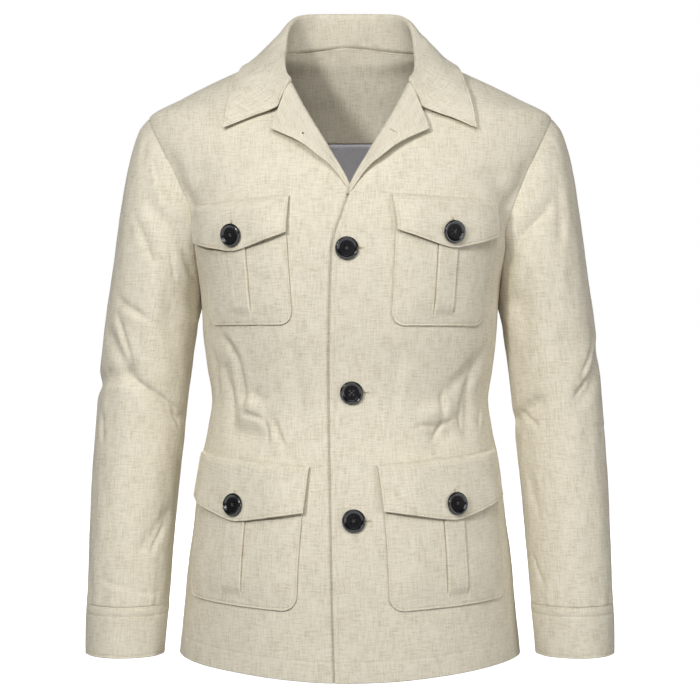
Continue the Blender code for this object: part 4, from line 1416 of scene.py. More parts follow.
def make_collar():
    def columns(length):
        return spaced(length, HALF_COLLAR_COLUMNS, PLAIN_EDGE, TURNED_EDGE)

    half = shares_at(collar_sheet, np.array([1.0]), columns)[0]
    half = np.concatenate([-half[:0:-1], half])
    stand = np.concatenate([[0.0], *(np.linspace(*stretch)[1:] for stretch in STRETCHES)])
    to_edge = spaced(fall_length(half), FALL_ROWS, PLAIN_EDGE, TURNED_EDGE)[:, 1:].T
    fall = blend(FALL_SHARE, 1, to_edge / fall_length(half))
    along = np.concatenate([np.broadcast_to(stand[:, None], (len(stand), len(half))), fall])
    half = np.broadcast_to(half, along.shape)
    points = collar_sheet(half, along)
    points = points + grid_normals(points) * (DOUBLE_CLOTH / 2)
    across, up = lengths(points, axis=1), lengths(points, axis=0)
    to_front = np.minimum(across, to_end(across, 1))
    to_outer = to_end(up, 0)
    edge = np.minimum(to_front, to_outer)
    on_fall = ease((along - 0.5) / 0.1)
    relief = on_fall * (turned_edge(edge) + sewn(edge, COLLAR_STITCH, across + up))
    broad, fine = 0.5 * np.sin(across / 17) * np.sin(up / 13 + 1), 0.25 * np.sin(across / 7.3 + up / 9)
    relief += on_fall * (broad + fine)
    relief += ease((GORGE_END - along) / GORGE_FADE) * turned_edge(to_front, GORGE_RADIUS)
    middle = points.shape[1] // 2
    fold_row = len(stand) // 2
    grain = np.broadcast_to(across[fold_row] - across[fold_row, middle], along.shape)
    new_cloth("collar", points, relief, stacked(grain, up), DOUBLE_CLOTH, LINEN)


make_collar()

# %% Stitch the collar
EDGE_HALF, END_FALL = 150.0, 40.0  # about half the outer edge, and the front end's last stretch
STITCHED_FROM = 0.56  # the front ends are stitched from just past the fold
NEAR = 0.03  # a step in from a front end, for measuring how wide a share is


def stitch_collar():
    """Stitches along the outer edge, and up both front ends of the fall."""
    lift = DOUBLE_CLOTH / 2
    end = 1 - COLLAR_STITCH / EDGE_HALF
    half = np.linspace(-end, end, 260)
    frames = [sewn_row(collar_sheet, half, collar_along(half, COLLAR_STITCH), SHARE_STEP, lift=lift)]
    for side in (-1, 1):
        along = np.linspace(STITCHED_FROM, 1 - (1 - FALL_SHARE) * COLLAR_STITCH / END_FALL, 40)
        tip = np.full_like(along, side)
        beside = collar_sheet(tip, along) - collar_sheet(tip * (1 - NEAR), along)
        width = np.linalg.norm(beside, axis=-1) / NEAR
        frames.append(sewn_row(collar_sheet, tip * (1 - COLLAR_STITCH / width), along, SHARE_STEP, lift=lift))
    topstitch("collar", frames)


stitch_collar()

# %% [markdown]
# ## Lapels
#
# The jacket is worn open at the top, so the upper front edges roll outwards as small lapels.  Each is a
# narrow strip that starts inside the front, turns round the roll line and lies on the front.  Its section
# is six stops, and its rows go down from the gorge to where the roll ends.

# %% Cut of the lapels
LAPEL = SmoothTable("share roll_x roll_z edge_x edge_z", [
    (0.000, 70.5, -43.5, 89, -102.5),
    (0.150, 62, -61, 75, -109.5),
    (0.300, 53, -77.5, 61, -116.5),
    (0.450, 44, -94, 50, -123.5),
    (0.600, 34, -111, 40, -131.5),
    (0.750, 23.5, -128.5, 28, -142),
    (0.900, 10.5, -151, 15.5, -157.5),
    (1.000, -1, -175, 4, -176),
])
LapelStop = namedtuple("LapelStop", "reach shift lift")
LAPEL_SECTION = [LapelStop(*row) for row in (
    (0.0, 1.4, -0.6), (0.0, 3.2, 1.3), (0.0, 1.0, 3.6), (0.35, 0.0, 4.6), (0.7, 0.0, 5.6), (1.0, 0.0, 6.0),
)]
LAPEL_FIRST_SHARE, LAPEL_LAST_SHARE = 0.006, {1: 1.0, -1: 0.985}  # the right one ends sooner
LAPEL_TAPER = 0.3  # share of its length over which a lapel runs out to nothing
LAPEL_LOFT = 3.0  # how much more its edge stands off, half way down


def lapel_sheet(side):
    """The surface of a lapel: across from the inside over the roll to the edge, along from the gorge down."""
    def sheet(across, along):
        row = LAPEL.at(blend(LAPEL_FIRST_SHARE, LAPEL_LAST_SHARE[side], along))
        section = smooth_curve(np.linspace(0, 1, len(LAPEL_SECTION)), np.array(LAPEL_SECTION), across)
        full = np.sqrt(np.clip((1 - along) / LAPEL_TAPER, 0, 1))
        reach, shift, lift = np.moveaxis(section, -1, 0)
        reach = reach * full
        height = blend(row.roll_z, row.edge_z, reach)
        angle = walk(angle_at(blend(row.roll_x, row.edge_x, reach), height), height, -shift)
        inset = tuck(-angle, height) if side < 0 else 0
        loft = LAPEL_LOFT * ease(reach) * np.sin(np.pi * np.clip(along * 0.8 + 0.1, 0, 1))
        return skin(side * angle, height, lift * blend(-0.3, 1, full) + loft - inset)
    return sheet


print("left lapel's point:", np.round(lapel_sheet(1)(np.array(1.0), np.array(0.0)), 1))

# %% Make the lapels
LAPEL_LENGTH, LAPEL_ROWS, LAPEL_COLUMNS = 140.0, 40, 18
ROLL_EDGE = (0, 1, 2, 3, 4, 5, 6.5)  # distances from the inner edge, over the roll
LAPEL_STITCH, LAPEL_STITCHED = 4.5, (0.01, 0.72)  # from its edge, and between these shares of its length


def make_lapel(node, side):
    sheet = lapel_sheet(side)
    flip = side > 0
    along = spaced(LAPEL_LENGTH, LAPEL_ROWS, TURNED_EDGE, PLAIN_EDGE) / LAPEL_LENGTH
    across = shares_at(sheet, along, lambda length: spaced(length, LAPEL_COLUMNS, ROLL_EDGE, TURNED_EDGE))
    along = np.broadcast_to(along[:, None], across.shape)
    points = sheet(across, along)
    points = points + grid_normals(points) * (DOUBLE_CLOTH / 2 * (-1 if flip else 1))
    wide, down = lengths(points, axis=1), lengths(points, axis=0)
    edge = np.minimum(to_end(wide, 1), down)
    relief = turned_edge(edge) + sewn(to_end(wide, 1), LAPEL_STITCH, down) * ease(wide / 8 - 0.6)
    relief += 0.3 * np.sin(down / 11 + wide / 9)
    new_cloth(node, points, relief, stacked(wide, -down), DOUBLE_CLOTH, LINEN, flip=flip)
    rows = np.linspace(*LAPEL_STITCHED, 60)
    inset = shares_at(sheet, rows, lambda length: length[:, None] - LAPEL_STITCH)[:, 0]
    topstitch(node, [sewn_row(sheet, inset, rows, SHARE_STEP, flip, DOUBLE_CLOTH / 2)])


for side_name, side in SIDES.items():
    make_lapel("lapel_" + side_name, side)

# %% [markdown]
# ## Patch pockets
#
# Each pocket is a patch laid on the front, with round lower corners, a box pleat down its middle and a
# row of stitches close to its edge.  Its points are given by millimetres across and down the patch, and
# the body's own surface carries them, so the patch follows every crease below it.  The columns draw
# together in the corners, which keeps the grid whole there.

# %% Where the pockets lie
PATCH_INSET = 2.0  # how much narrower a patch is than its flap, at each side
Pocket = namedtuple("Pocket", "name side centre_angle top half_width flap_side flap_point depth corner "
                              "pleat_half rise low_rise lean")
POCKETS = [Pocket(*row) for row in (
    ("chest", 1, 41, -177, 63, 40, 57, 144, 16, 11, -0.04, 0, 0.08),
    ("chest", -1, 47.5, -181, 63, 40, 56, 139, 16, 11, -0.07, 0, 0.03),
    ("hip", 1, 43.8, -469, 83, 52, 69, 164, 18, 12, 0.08, 0.05, 0.02),
    ("hip", -1, 48.5, -471, 82, 52, 69, 162, 18, 12, 0.08, 0.05, 0),
)]


def node_of(pocket, piece):
    """The name of a piece that belongs to a pocket."""
    return f"{pocket.name}_{piece}_{'left' if pocket.side > 0 else 'right'}"


def pocket_place(pocket, across, down, lean=0.0):
    """A place on a front, across outwards from the pocket's middle and down from its flap's seam."""
    rise = blend(pocket.rise, pocket.low_rise, down / pocket.depth)
    height = pocket.top + rise * across - down
    return walk(np.full_like(height, pocket.centre_angle), height, across + lean * down), height


def patch_half(pocket, down):
    """Half the patch's width at a place down it, less in the round corners."""
    into = np.clip(down - (pocket.depth - pocket.corner), 0, pocket.corner)
    return pocket.half_width - PATCH_INSET - pocket.corner + np.sqrt(pocket.corner ** 2 - into ** 2)


def patch_edge(pocket, across, down):
    """Distance from the patch's stitched edge: its sides, round corners and bottom."""
    beside = np.abs(across) - (pocket.half_width - PATCH_INSET - pocket.corner)
    below = down - (pocket.depth - pocket.corner)
    in_corner = (beside > 0) & (below > 0)
    straight = np.minimum(pocket.corner - beside, pocket.corner - below)
    return np.where(in_corner, pocket.corner - np.hypot(beside, below), straight)


for pocket in POCKETS:
    print(node_of(pocket, "pocket"), "is", 2 * patch_half(pocket, 0.0), "mm wide")

# %% A patch with its box pleat
PLEAT_RISE, PLEAT_END, PLEAT_FADE = 2.2, 12.0, 8.0  # its height, and where it closes near the bottom
POCKET_STITCH = 2.6
FULLNESS, FULL_FROM = 1.6, 30.0  # how far a pocket stands off in its middle, and how far from its edge
PleatStop = namedtuple("PleatStop", "place shift lift")
PLEAT_SECTION = [PleatStop(*row) for row in (
    (-2.0, 0.0, 1.0), (-1.2, 0.3, 1.05), (-0.6, 0.8, 0.95), (-0.2, 1.0, 0.65), (0.2, 0.5, 0.1),
    (0.6, 0.1, -0.6), (0.9, 0.0, -1.05), (1.2, 0.0, -1.05), (1.5, 0.0, -0.6), (1.8, -0.1, -0.1),
    (2.4, 0.0, 0.05), (3.2, 0.0, 0.05),
)]


def patch_sheet(pocket, sewn_in=True):
    """The surface of a pocket, by millimetres across and down."""
    def sheet(across, down):
        place, shift, lift = np.array(PLEAT_SECTION).T
        from_pleat = np.clip(np.abs(across) - pocket.pleat_half, place[0], place[-1])
        open_share = ease((pocket.depth - down - PLEAT_END) / PLEAT_FADE)
        over = np.sign(across) * np.interp(from_pleat, place, shift) * open_share
        pleat = PLEAT_RISE * np.interp(from_pleat, place, lift) * open_share
        edge = patch_edge(pocket, across, down)
        relief = turned_edge(edge) + sewn(edge, POCKET_STITCH, across + down) if sewn_in else 0
        angle, height = pocket_place(pocket, across + over, down)
        full = FULLNESS * ease(edge / FULL_FROM)
        return skin(pocket.side * angle, height, LAID + CLOTH + pleat + full + relief)
    return sheet


print("a box pleat rises", PLEAT_RISE, "mm over", len(PLEAT_SECTION), "stops")

# %% Make the pockets
POCKET_TOP = 10.0  # from the flap's seam down to the pocket's top edge
POCKET_ROWS, POCKET_COLUMNS = 34, 13
CORNER_EDGE, PLEAT_COLUMNS = (*TURNED_EDGE, 11.5, 14.5, 18), (0, 4, 8)
PLACE_STEP = 0.3  # for the slope of a sheet that is read by millimetres


def patch_cut(pocket, across, down):
    return stacked(pocket.side * (pocket.centre_angle * ROUND_PER_DEGREE + across), pocket.top - down)


def make_pocket(pocket):
    node = node_of(pocket, "pocket")
    low = spaced(pocket.depth - POCKET_TOP, POCKET_ROWS, PLAIN_EDGE, CORNER_EDGE)
    down = (POCKET_TOP + low)[::-1]
    fixed = [*PLEAT_COLUMNS, *(pocket.pleat_half + stop.place for stop in PLEAT_SECTION)]
    outwards = spaced(patch_half(pocket, down), POCKET_COLUMNS, fixed, TURNED_EDGE)
    across = np.concatenate([-outwards[:, :0:-1], outwards], axis=1)
    down = np.broadcast_to(down[:, None], across.shape)
    points = patch_sheet(pocket)(across, down)
    new_cloth(node, points, 0, patch_cut(pocket, across, down), CLOTH, LINEN, flip=pocket.side < 0)
    topstitch(node, [stitch_round(pocket)])


def stitch_round(pocket):
    """Stitches down one side, round both corners and up the other side."""
    radius = pocket.corner - POCKET_STITCH
    half, low = pocket.half_width - PATCH_INSET - pocket.corner, pocket.depth - pocket.corner
    turn = np.radians(np.linspace(0, 90, 12))
    side_down = np.linspace(POCKET_TOP + 2, low, 40)
    one_side = np.stack([np.full_like(side_down, half + radius), side_down])
    corner = np.stack([half + radius * np.cos(turn), low + radius * np.sin(turn)])
    right = np.concatenate([one_side, corner], axis=1)
    bottom = np.stack([np.linspace(half, -half, 40), np.full(40, low + radius)])
    left = right[:, ::-1] * np.array([[-1], [1]])
    across, down = np.concatenate([right, bottom, left], axis=1)
    plain = patch_sheet(pocket, sewn_in=False)
    return sewn_row(plain, across, down, PLACE_STEP, flip=pocket.side > 0)


for pocket in POCKETS:
    make_pocket(pocket)

# %% [markdown]
# ## Pocket flaps
#
# A flap hangs from a seam above its pocket and comes to a blunt point that a button holds.  It is two
# layers thick, so its top seam stands up as a soft ridge with a stitched groove below.  It goes out over
# the pocket just below its seam.  Rows follow its sloping lower edge, so that its stitches do as well.

# %% Cut of the flaps
TIP_RADIUS, FLAP_CURL = 9.0, 3.0  # how blunt a flap's point is, and how far its lower corners stand off
FLAP_RISE_LENGTH = 7.0  # over this length a flap goes out over its pocket
FLAP_PLAY = 0.4  # more room below a flap
FLAP_STITCH, FLAP_TOP_STITCH = 2.6, 6.0
RIDGE = {"chest": 0.5, "hip": 1.5}  # height of the ridge at a flap's top seam
RIDGE_PLACE, RIDGE_WIDTH = 2.8, 1.9


def flap_length(pocket, across):
    """How far a flap hangs at a place across it: longest at its rounded point."""
    soft = np.hypot(across, TIP_RADIUS) - TIP_RADIUS
    widest = math.hypot(pocket.half_width, TIP_RADIUS) - TIP_RADIUS
    return blend(pocket.flap_point, pocket.flap_side, soft / widest)


def flap_lift(pocket, across, down):
    """How far a flap's underside stands off the front: most over the pleat, and at its lower corners."""
    beside = np.abs(across) / pocket.half_width
    over_pocket = (PLEAT_RISE + FULLNESS) * ease((1 - beside) * pocket.half_width / FULL_FROM)
    curl = FLAP_CURL * ease((beside - 0.25) / 0.5) * ease(down / pocket.flap_side - 0.2)
    out = 2 * LAID + CLOTH + FLAP_PLAY + over_pocket + curl
    return blend(LAID, out, ease(down / FLAP_RISE_LENGTH))


def flap_edge(pocket, across, down):
    """Distance from the flap's two sides and its sloping lower edge."""
    slope = math.atan2(pocket.flap_point - pocket.flap_side, pocket.half_width)
    below = (flap_length(pocket, across) - down) * math.cos(slope)
    return np.minimum(pocket.half_width - np.abs(across), below)


def flap_sheet(pocket, sewn_in=True):
    """The surface of a flap, by millimetres across and down."""
    def sheet(across, down):
        edge = flap_edge(pocket, across, down)
        relief = RIDGE[pocket.name] * np.exp(-((down - RIDGE_PLACE) / RIDGE_WIDTH) ** 2)
        if sewn_in:
            relief = relief + turned_edge(edge) + turned_edge(down) + sewn(edge, FLAP_STITCH, across)
            relief = relief + sewn(down, FLAP_TOP_STITCH, across)
        relief = relief + 0.35 * np.sin(across / 9 + pocket.side) * np.sin(down / 15)
        angle, height = pocket_place(pocket, across, down, pocket.lean)
        return skin(pocket.side * angle, height, flap_lift(pocket, across, down) + DOUBLE_CLOTH + relief)
    return sheet


for pocket in POCKETS:
    print(node_of(pocket, "flap"), "hangs", flap_length(pocket, 0.0), "mm down to its point")

# %% Make the flaps
FLAP_TOP_EDGE = (0, 0.4, 1, 1.8, 2.8, 3.8, 4.8, 5.5, 6.0, 6.6, 7.4, 9)
FLAP_ROWS, FLAP_COLUMNS = 9, 30
FLAP_APART = 40.0  # a flap is cut away from its pocket, so their threads differ


def make_flap(pocket):
    node = node_of(pocket, "flap")
    across = spaced(2 * pocket.half_width, FLAP_COLUMNS, TURNED_EDGE, TURNED_EDGE) - pocket.half_width
    down = spaced(flap_length(pocket, across), FLAP_ROWS, FLAP_TOP_EDGE, TURNED_EDGE).T[::-1]
    across = np.broadcast_to(across, down.shape)
    points = flap_sheet(pocket)(across, down)
    cut = patch_cut(pocket, across, down) + FLAP_APART
    new_cloth(node, points, 0, cut, DOUBLE_CLOTH, LINEN, flip=pocket.side < 0)
    topstitch(node, stitch_flap(pocket))


def stitch_flap(pocket):
    """Stitches below the top seam, and along the sides and the point."""
    plain = flap_sheet(pocket, sewn_in=False)
    inner = pocket.half_width - FLAP_STITCH
    top = np.linspace(-inner, inner, 60)
    side_down = np.linspace(8, flap_length(pocket, inner) - FLAP_STITCH, 20)
    low = np.linspace(inner, -inner, 80)
    across = np.concatenate([np.full(20, inner), low, np.full(20, -inner)])
    down = np.concatenate([side_down, flap_length(pocket, low) - FLAP_STITCH, side_down[::-1]])
    flip = pocket.side > 0
    return [
        sewn_row(plain, top, np.full_like(top, FLAP_TOP_STITCH), PLACE_STEP, flip),
        sewn_row(plain, across, down, PLACE_STEP, flip),
    ]


for pocket in POCKETS:
    make_flap(pocket)

# %% [markdown]
# ## Buttons
#
# The buttons are turned from near-black horn: a flat back, a polished rim and a matt dished face with
# four holes, sewn on crosswise.  Such a shape is a profile spun round an axis.  The holes are cut once, by
# a Boolean with four small cylinders, and every button is a copy.  A thread shank joins each one to its
# cloth, and the finished mesh is turned to face the way the cloth does there.

# %% Button finishes
HORN_DARK, HORN_LIGHT = (0.004, 0.004, 0.005), (0.010, 0.010, 0.011)


def horn(name, roughness, shine):
    finish = Finish(name, "Object")
    grain = finish.noise((260, 260, 90), 3)
    colour = finish.ramp(grain, [(0.35, HORN_DARK), (0.7, HORN_LIGHT)])
    finish.bump(grain, strength=0.05, distance=0.0002)
    finish.shade({"Base Color": colour, "Roughness": roughness, "Specular IOR Level": shine})
    return finish.material


POLISHED_HORN, MATT_HORN = horn("polished_horn", 0.16, 0.5), horn("matt_horn", 0.5, 0.08)
BUTTON_THREAD = linen_thread("button_thread", (0.035, 0.032, 0.03), (0.09, 0.08, 0.07))
BUTTON_FINISHES = (POLISHED_HORN, MATT_HORN, BUTTON_THREAD)
print("finishes:", [finish.name for finish in BUTTON_FINISHES])

# %% Turn and drill a button
BUTTON_RADIUS, BUTTON_THICKNESS, BUTTON_SHANK = 13.0, 4.0, 1.0
HOLE_RADIUS, HOLE_SPREAD, HOLE_BOTTOM = 1.2, 2.3, 0.3
DISH_SHARE, DISH_HEIGHT = 0.68, 0.55  # radius and height of the dished face, as shares
SHARP_TURN = 50  # edges that turn by more degrees stay sharp


def button_profile():
    """Half the section of a button, from the foot of its shank over the rim to the middle of its face."""
    shank = (SEAM - BUTTON_SHANK) / BUTTON_THICKNESS
    shares = [(0, shank), (0.25, shank), (0.25, 0), (0.74, 0), (0.9, 0.07), (0.985, 0.22), (1, 0.42),
              (0.985, 0.66), (0.95, 0.86), (0.9, 0.97), (0.86, 1), (0.81, 0.97), (0.76, 0.86),
              (0.71, 0.7), (0.66, 0.6), (0.58, DISH_HEIGHT), (0, DISH_HEIGHT)]
    return [(share * BUTTON_RADIUS * MM, 0, rise * BUTTON_THICKNESS * MM) for share, rise in shares]


def spun_button():
    body = bmesh.new()
    points = [body.verts.new(place) for place in button_profile()]
    edges = [body.edges.new(pair) for pair in zip(points, points[1:])]
    bmesh.ops.spin(body, geom=points + edges, axis=(0, 0, 1), cent=(0, 0, 0), angle=math.tau, steps=48,
                   use_merge=True)
    bmesh.ops.remove_doubles(body, verts=body.verts, dist=1e-6)
    bmesh.ops.recalc_face_normals(body, faces=body.faces)
    for face in body.faces:
        middle = face.calc_center_median()
        on_face = middle.z > 0.4 * BUTTON_THICKNESS * MM
        face.material_index = int(on_face and middle.xy.length < DISH_SHARE * BUTTON_RADIUS * MM)
    return finished_mesh(body, "button_blank")


def hole_cutter():
    body = bmesh.new()
    for x in (-HOLE_SPREAD, HOLE_SPREAD):
        for y in (-HOLE_SPREAD, HOLE_SPREAD):
            place = Matrix.Translation(Vector((x, y, HOLE_BOTTOM + BUTTON_THICKNESS / 2)) * MM)
            bmesh.ops.create_cone(body, cap_ends=True, segments=14, radius1=HOLE_RADIUS * MM,
                                  radius2=HOLE_RADIUS * MM, depth=BUTTON_THICKNESS * MM, matrix=place)
    return finished_mesh(body, "hole_cutter")


def drilled(blank, cutter):
    """The blank with its holes cut, as a new mesh."""
    pair = [add_object("drilling", mesh) for mesh in (blank, cutter)]
    cut = pair[0].modifiers.new("holes", "BOOLEAN")
    cut.operation = "DIFFERENCE"
    cut.solver = "EXACT"
    cut.object = pair[1]
    depsgraph = bpy.context.evaluated_depsgraph_get()
    mesh = bpy.data.meshes.new_from_object(pair[0].evaluated_get(depsgraph))
    for piece in pair:
        bpy.data.objects.remove(piece)
    return mesh


DRILLED_BUTTON = drilled(spun_button(), hole_cutter())
print("a button has", len(DRILLED_BUTTON.polygons), "faces")

# %% Place the buttons
Button = namedtuple("Button", "angle height")
FRONT_BUTTONS = [Button(-1.4, -235.5), Button(0.8, -395.5), Button(1.6, -536.5)]
POCKET_BUTTON_RISE = 18.0  # from the flap's point up to the middle of its button
CROSS_WIDTH, CROSS_HEIGHT = 0.9, 1.1
BUTTONS = {}


def cross_stitches(body):
    """Two threads that cross between the four holes."""
    length = 2 * math.hypot(HOLE_SPREAD, HOLE_SPREAD)
    for turn in (45, 135):
        made = bmesh.ops.create_uvsphere(body, u_segments=8, v_segments=6, radius=0.5)["verts"]
        bmesh.ops.scale(body, verts=made, vec=Vector((length, CROSS_WIDTH, CROSS_HEIGHT)) * MM)
        crosswise = Matrix.Rotation(math.radians(turn), 3, "Z")
        bmesh.ops.rotate(body, verts=made, cent=(0, 0, 0), matrix=crosswise)
        bmesh.ops.translate(body, verts=made, vec=(0, 0, DISH_HEIGHT * BUTTON_THICKNESS * MM))
        for face in {face for vertex in made for face in vertex.link_faces}:
            face.material_index = BUTTON_FINISHES.index(BUTTON_THREAD)


def place_button(node, angle, height, lift):
    """A button on the cloth, its back clear of it and its face outwards."""
    seat = Vector(skin(angle, height, lift))
    outwards = Vector(skin(angle, height, lift + 1)) - seat
    body = bmesh.new()
    body.from_mesh(DRILLED_BUTTON)
    cross_stitches(body)
    turn = outwards.to_track_quat("Z", "Y").to_matrix().to_4x4()
    bmesh.ops.transform(body, verts=body.verts, matrix=Matrix.Translation(seat * MM) @ turn)
    mesh = finished_mesh(body, node + "_horn")
    for finish in BUTTON_FINISHES:
        mesh.materials.append(finish)
    mesh.shade_smooth()
    mesh.set_sharp_from_angle(angle=math.radians(SHARP_TURN))
    BUTTONS[node] = add_object(node + "_horn", mesh)


for number, button in enumerate(FRONT_BUTTONS, 1):
    place_button(f"front_button_{number}", button.angle, button.height, BUTTON_SHANK)
for pocket in POCKETS:
    down = pocket.flap_point - POCKET_BUTTON_RISE
    angle, height = pocket_place(pocket, np.array(0.0), np.array(down), pocket.lean)
    lift = flap_lift(pocket, 0.0, down) + DOUBLE_CLOTH + BUTTON_SHANK
    place_button(node_of(pocket, "button"), pocket.side * angle, height, lift)
print("buttons:", *BUTTONS)

# %% [markdown]
# ## Buttonholes
#
# A buttonhole is a slit in the cloth with close stitches across both of its edges.  The front ones lie
# level, and their outer ends show beside the buttons.  Those of the flaps stand upright, and their upper
# ends show.  The lapel on the wearer's left has a slanted one.  They use the same bead of thread, laid
# across the slit, and one long dark bead in the gap, which is painted shade.

# %% A worked slit
BAR_PITCH, BAR_LENGTH, BAR_THREAD, END_PITCH = 0.7, 1.7, 0.6, 0.9
HOLE_EDGE = 0.9  # from the middle of the slit to the middle of its stitches
# The first value is the width of the dark bead in the slit, which paints the shade of the gap.
GAP_SHADE_WIDTH, SLIT_END = 0.7, 1.0  # width of the gap, and how far the stitches reach past its ends
PROUD = 0.1  # how far the stitches stand over the cloth


def buttonhole(node, name, surface, u, v, step, flip):
    """A worked slit along places (u, v) of a surface."""
    outwards = normals_of(surface, u, v, step, flip)
    line = surface(u, v) + outwards * PROUD
    ahead = unit(np.gradient(line, axis=0))
    beside = np.cross(outwards, ahead)
    edges = [row_of_stitches(line + beside * shift, outwards, BAR_PITCH, across=True)
             for shift in (-HOLE_EDGE, HOLE_EDGE)]
    arc = lengths(line, axis=0)[-1]
    ends = [row_of_stitches(line[part], outwards[part], END_PITCH) for part in (slice(0, 2), slice(-2, None))]
    # One long dark bead along the slit paints the shade in the gap.
    slit = row_of_stitches(line, outwards, arc)
    rows = [
        Stitches(np.concatenate(edges + [end[:1] for end in ends]), BAR_LENGTH, BAR_THREAD),
        Stitches(slit, arc - 2 * SLIT_END, GAP_SHADE_WIDTH),
    ]
    new_bead_mesh(node, name, rows, [SEWING_THREAD, PAINTED_GAP_SHADE])
    print(f"{name}: {arc:.1f} mm long")


# %% Buttonholes of the front and the flaps
FRONT_HOLE = (-6.0, 20.0)  # from the middle of the button, outwards
FLAP_HOLE = (-16.5, 9.0)  # down from the middle of the button
for number, button in enumerate(FRONT_BUTTONS, 1):
    reach = np.linspace(*FRONT_HOLE, 30)
    level = np.full_like(reach, button.height)
    buttonhole("front_left", f"front_buttonhole_{number}", skin,
               walk(np.full_like(reach, button.angle), level, reach), level, PLACE_STEP, False)
for pocket in POCKETS:
    down = pocket.flap_point - POCKET_BUTTON_RISE + np.linspace(*FLAP_HOLE, 30)
    buttonhole(node_of(pocket, "flap"), node_of(pocket, "buttonhole"), flap_sheet(pocket),
               np.zeros_like(down), down, PLACE_STEP, pocket.side > 0)

# %% Buttonhole and eyelet of the lapels
LAPEL_STEP = 0.004  # for the slope of a lapel's upper face
HOLE_ACROSS, HOLE_ALONG = (0.49, 0.80), (0.486, 0.385)  # ends of the slanted buttonhole, as shares
EYELET_PLACE, EYELET_RADIUS = np.array([[0.79], [0.393]]), 1.7
# The second pair sizes the dark bead that paints the shade in the eyelet's hole.
EYELET_STITCH, EYELET_SHADE = (1.0, 0.5), (2.8, 2.6)  # length and thickness of the beads


def upper_face(side):
    """The upper face of a lapel, which is half its thickness over its sheet."""
    surface = lapel_sheet(side)

    def sheet(u, v):
        outwards = normals_of(surface, u, v, LAPEL_STEP, side > 0)
        return surface(u, v) + outwards * (DOUBLE_CLOTH / 2)
    return sheet


def eyelet(node, name, surface, u, v, step):
    """A small round hole worked with stitches all round, with a dark bead in it as painted shade."""
    turn = np.linspace(0, math.tau, 13)
    middle = surface(u, v)[0]
    outwards = normals_of(surface, u, v, step)[0]
    sideways = unit(np.cross(outwards, np.array((0, 0, 1))))
    upwards = np.cross(outwards, sideways)
    ring = np.cos(turn)[:, None] * sideways + np.sin(turn)[:, None] * upwards
    line = middle + outwards * PROUD + ring * EYELET_RADIUS
    normals = np.broadcast_to(outwards, line.shape)
    # The hole is a dark bead, which paints the shade inside it.
    hole = np.stack([sideways, upwards, outwards, middle])[None]
    stitches = row_of_stitches(line, normals, BAR_PITCH)
    rows = [Stitches(stitches, *EYELET_STITCH), Stitches(hole, *EYELET_SHADE)]
    new_bead_mesh(node, name, rows, [SEWING_THREAD, PAINTED_GAP_SHADE])
    print(f"{name}: {len(stitches)} stitches round it")


buttonhole("lapel_left", "lapel_buttonhole", upper_face(1),
           np.linspace(*HOLE_ACROSS, 20), np.linspace(*HOLE_ALONG, 20), LAPEL_STEP, True)
eyelet("lapel_right", "lapel_eyelet", upper_face(-1), *EYELET_PLACE, LAPEL_STEP)

# %% [markdown]
# ## Which wall each piece stands for
#
# Every piece now rides on the one rigid body and stands for its wall of the frame, which is hidden.  A
# table also lists how large each piece was cut before it was sewn, how it is held and what it rests on.
# Linen hardly stretches, so the area that each sheet prints should come close to its cut.

# %% Cut sizes
Cut = namedtuple("Cut", "width length area held rests_on")  # in metres and square metres
CUTS = {
    "back": Cut(0.60, 0.76, 0.360, "hung", ["front_left", "front_right"]),
    "back_neck_facing": Cut(0.30, 0.13, 0.035, "hung", ["back"]),
    "back_lining": Cut(0.27, 0.175, 0.0445, "hung", ["back_neck_facing"]),
    "collar": Cut(0.52, 0.115, 0.0455, "folded", ["back", "front_left", "front_right"]),
}
for side_name in SIDES:
    front, sleeve = "front_" + side_name, "sleeve_" + side_name
    CUTS[front] = Cut(0.31, 0.74, 0.181, "hung", ["back"])
    CUTS[sleeve] = Cut(0.40, 0.60, 0.1745, "hung", [front, "back"])
    CUTS["cuff_" + side_name] = Cut(0.305, 0.058, 0.0175, "hung", [sleeve])
    CUTS["lapel_" + side_name] = Cut(0.165, 0.06, 0.0047, "folded", [front])
    CUTS["chest_pocket_" + side_name] = Cut(0.142, 0.135, 0.018, "laid", [front])
    CUTS["hip_pocket_" + side_name] = Cut(0.182, 0.156, 0.027, "laid", [front])
    CUTS["chest_flap_" + side_name] = Cut(0.127, 0.058, 0.0066, "laid", [front, "chest_pocket_" + side_name])
    CUTS["hip_flap_" + side_name] = Cut(0.167, 0.071, 0.0106, "laid", [front, "hip_pocket_" + side_name])
print(f"cut in all: {sum(cut.area for cut in CUTS.values()):.2f} square metres")

# %% Attach the pieces and hide their walls
def declare(piece):
    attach(piece, "root")


for node, piece in CLOTHS.items():
    declare(piece)
    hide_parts(node)
for pieces in THREADS.values():
    for piece in pieces:
        declare(piece)
for node, piece in BUTTONS.items():
    declare(piece)
    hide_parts(node)
print("cloth pieces:", len(CLOTHS), "threads:", sum(map(len, THREADS.values())), "buttons:", len(BUTTONS))

# %% [markdown]
# ## Floor, light and camera
#
# The photo is a plain studio cut-out on white.  A large soft lamp stands above the camera, and a small one
# on its left throws the shadow that falls inside the neck.  A low lamp far to the right fills that side,
# and one behind serves the views from the back.  The floor lies well below the hem, since a wearer would
# hold the jacket up.  The camera stands level with the middle of the jacket, 2.2 m in front of it.

# %% Pale floor
FLOOR, FLOOR_HALF = -0.80, 30  # in metres, as all sizes of the studio are


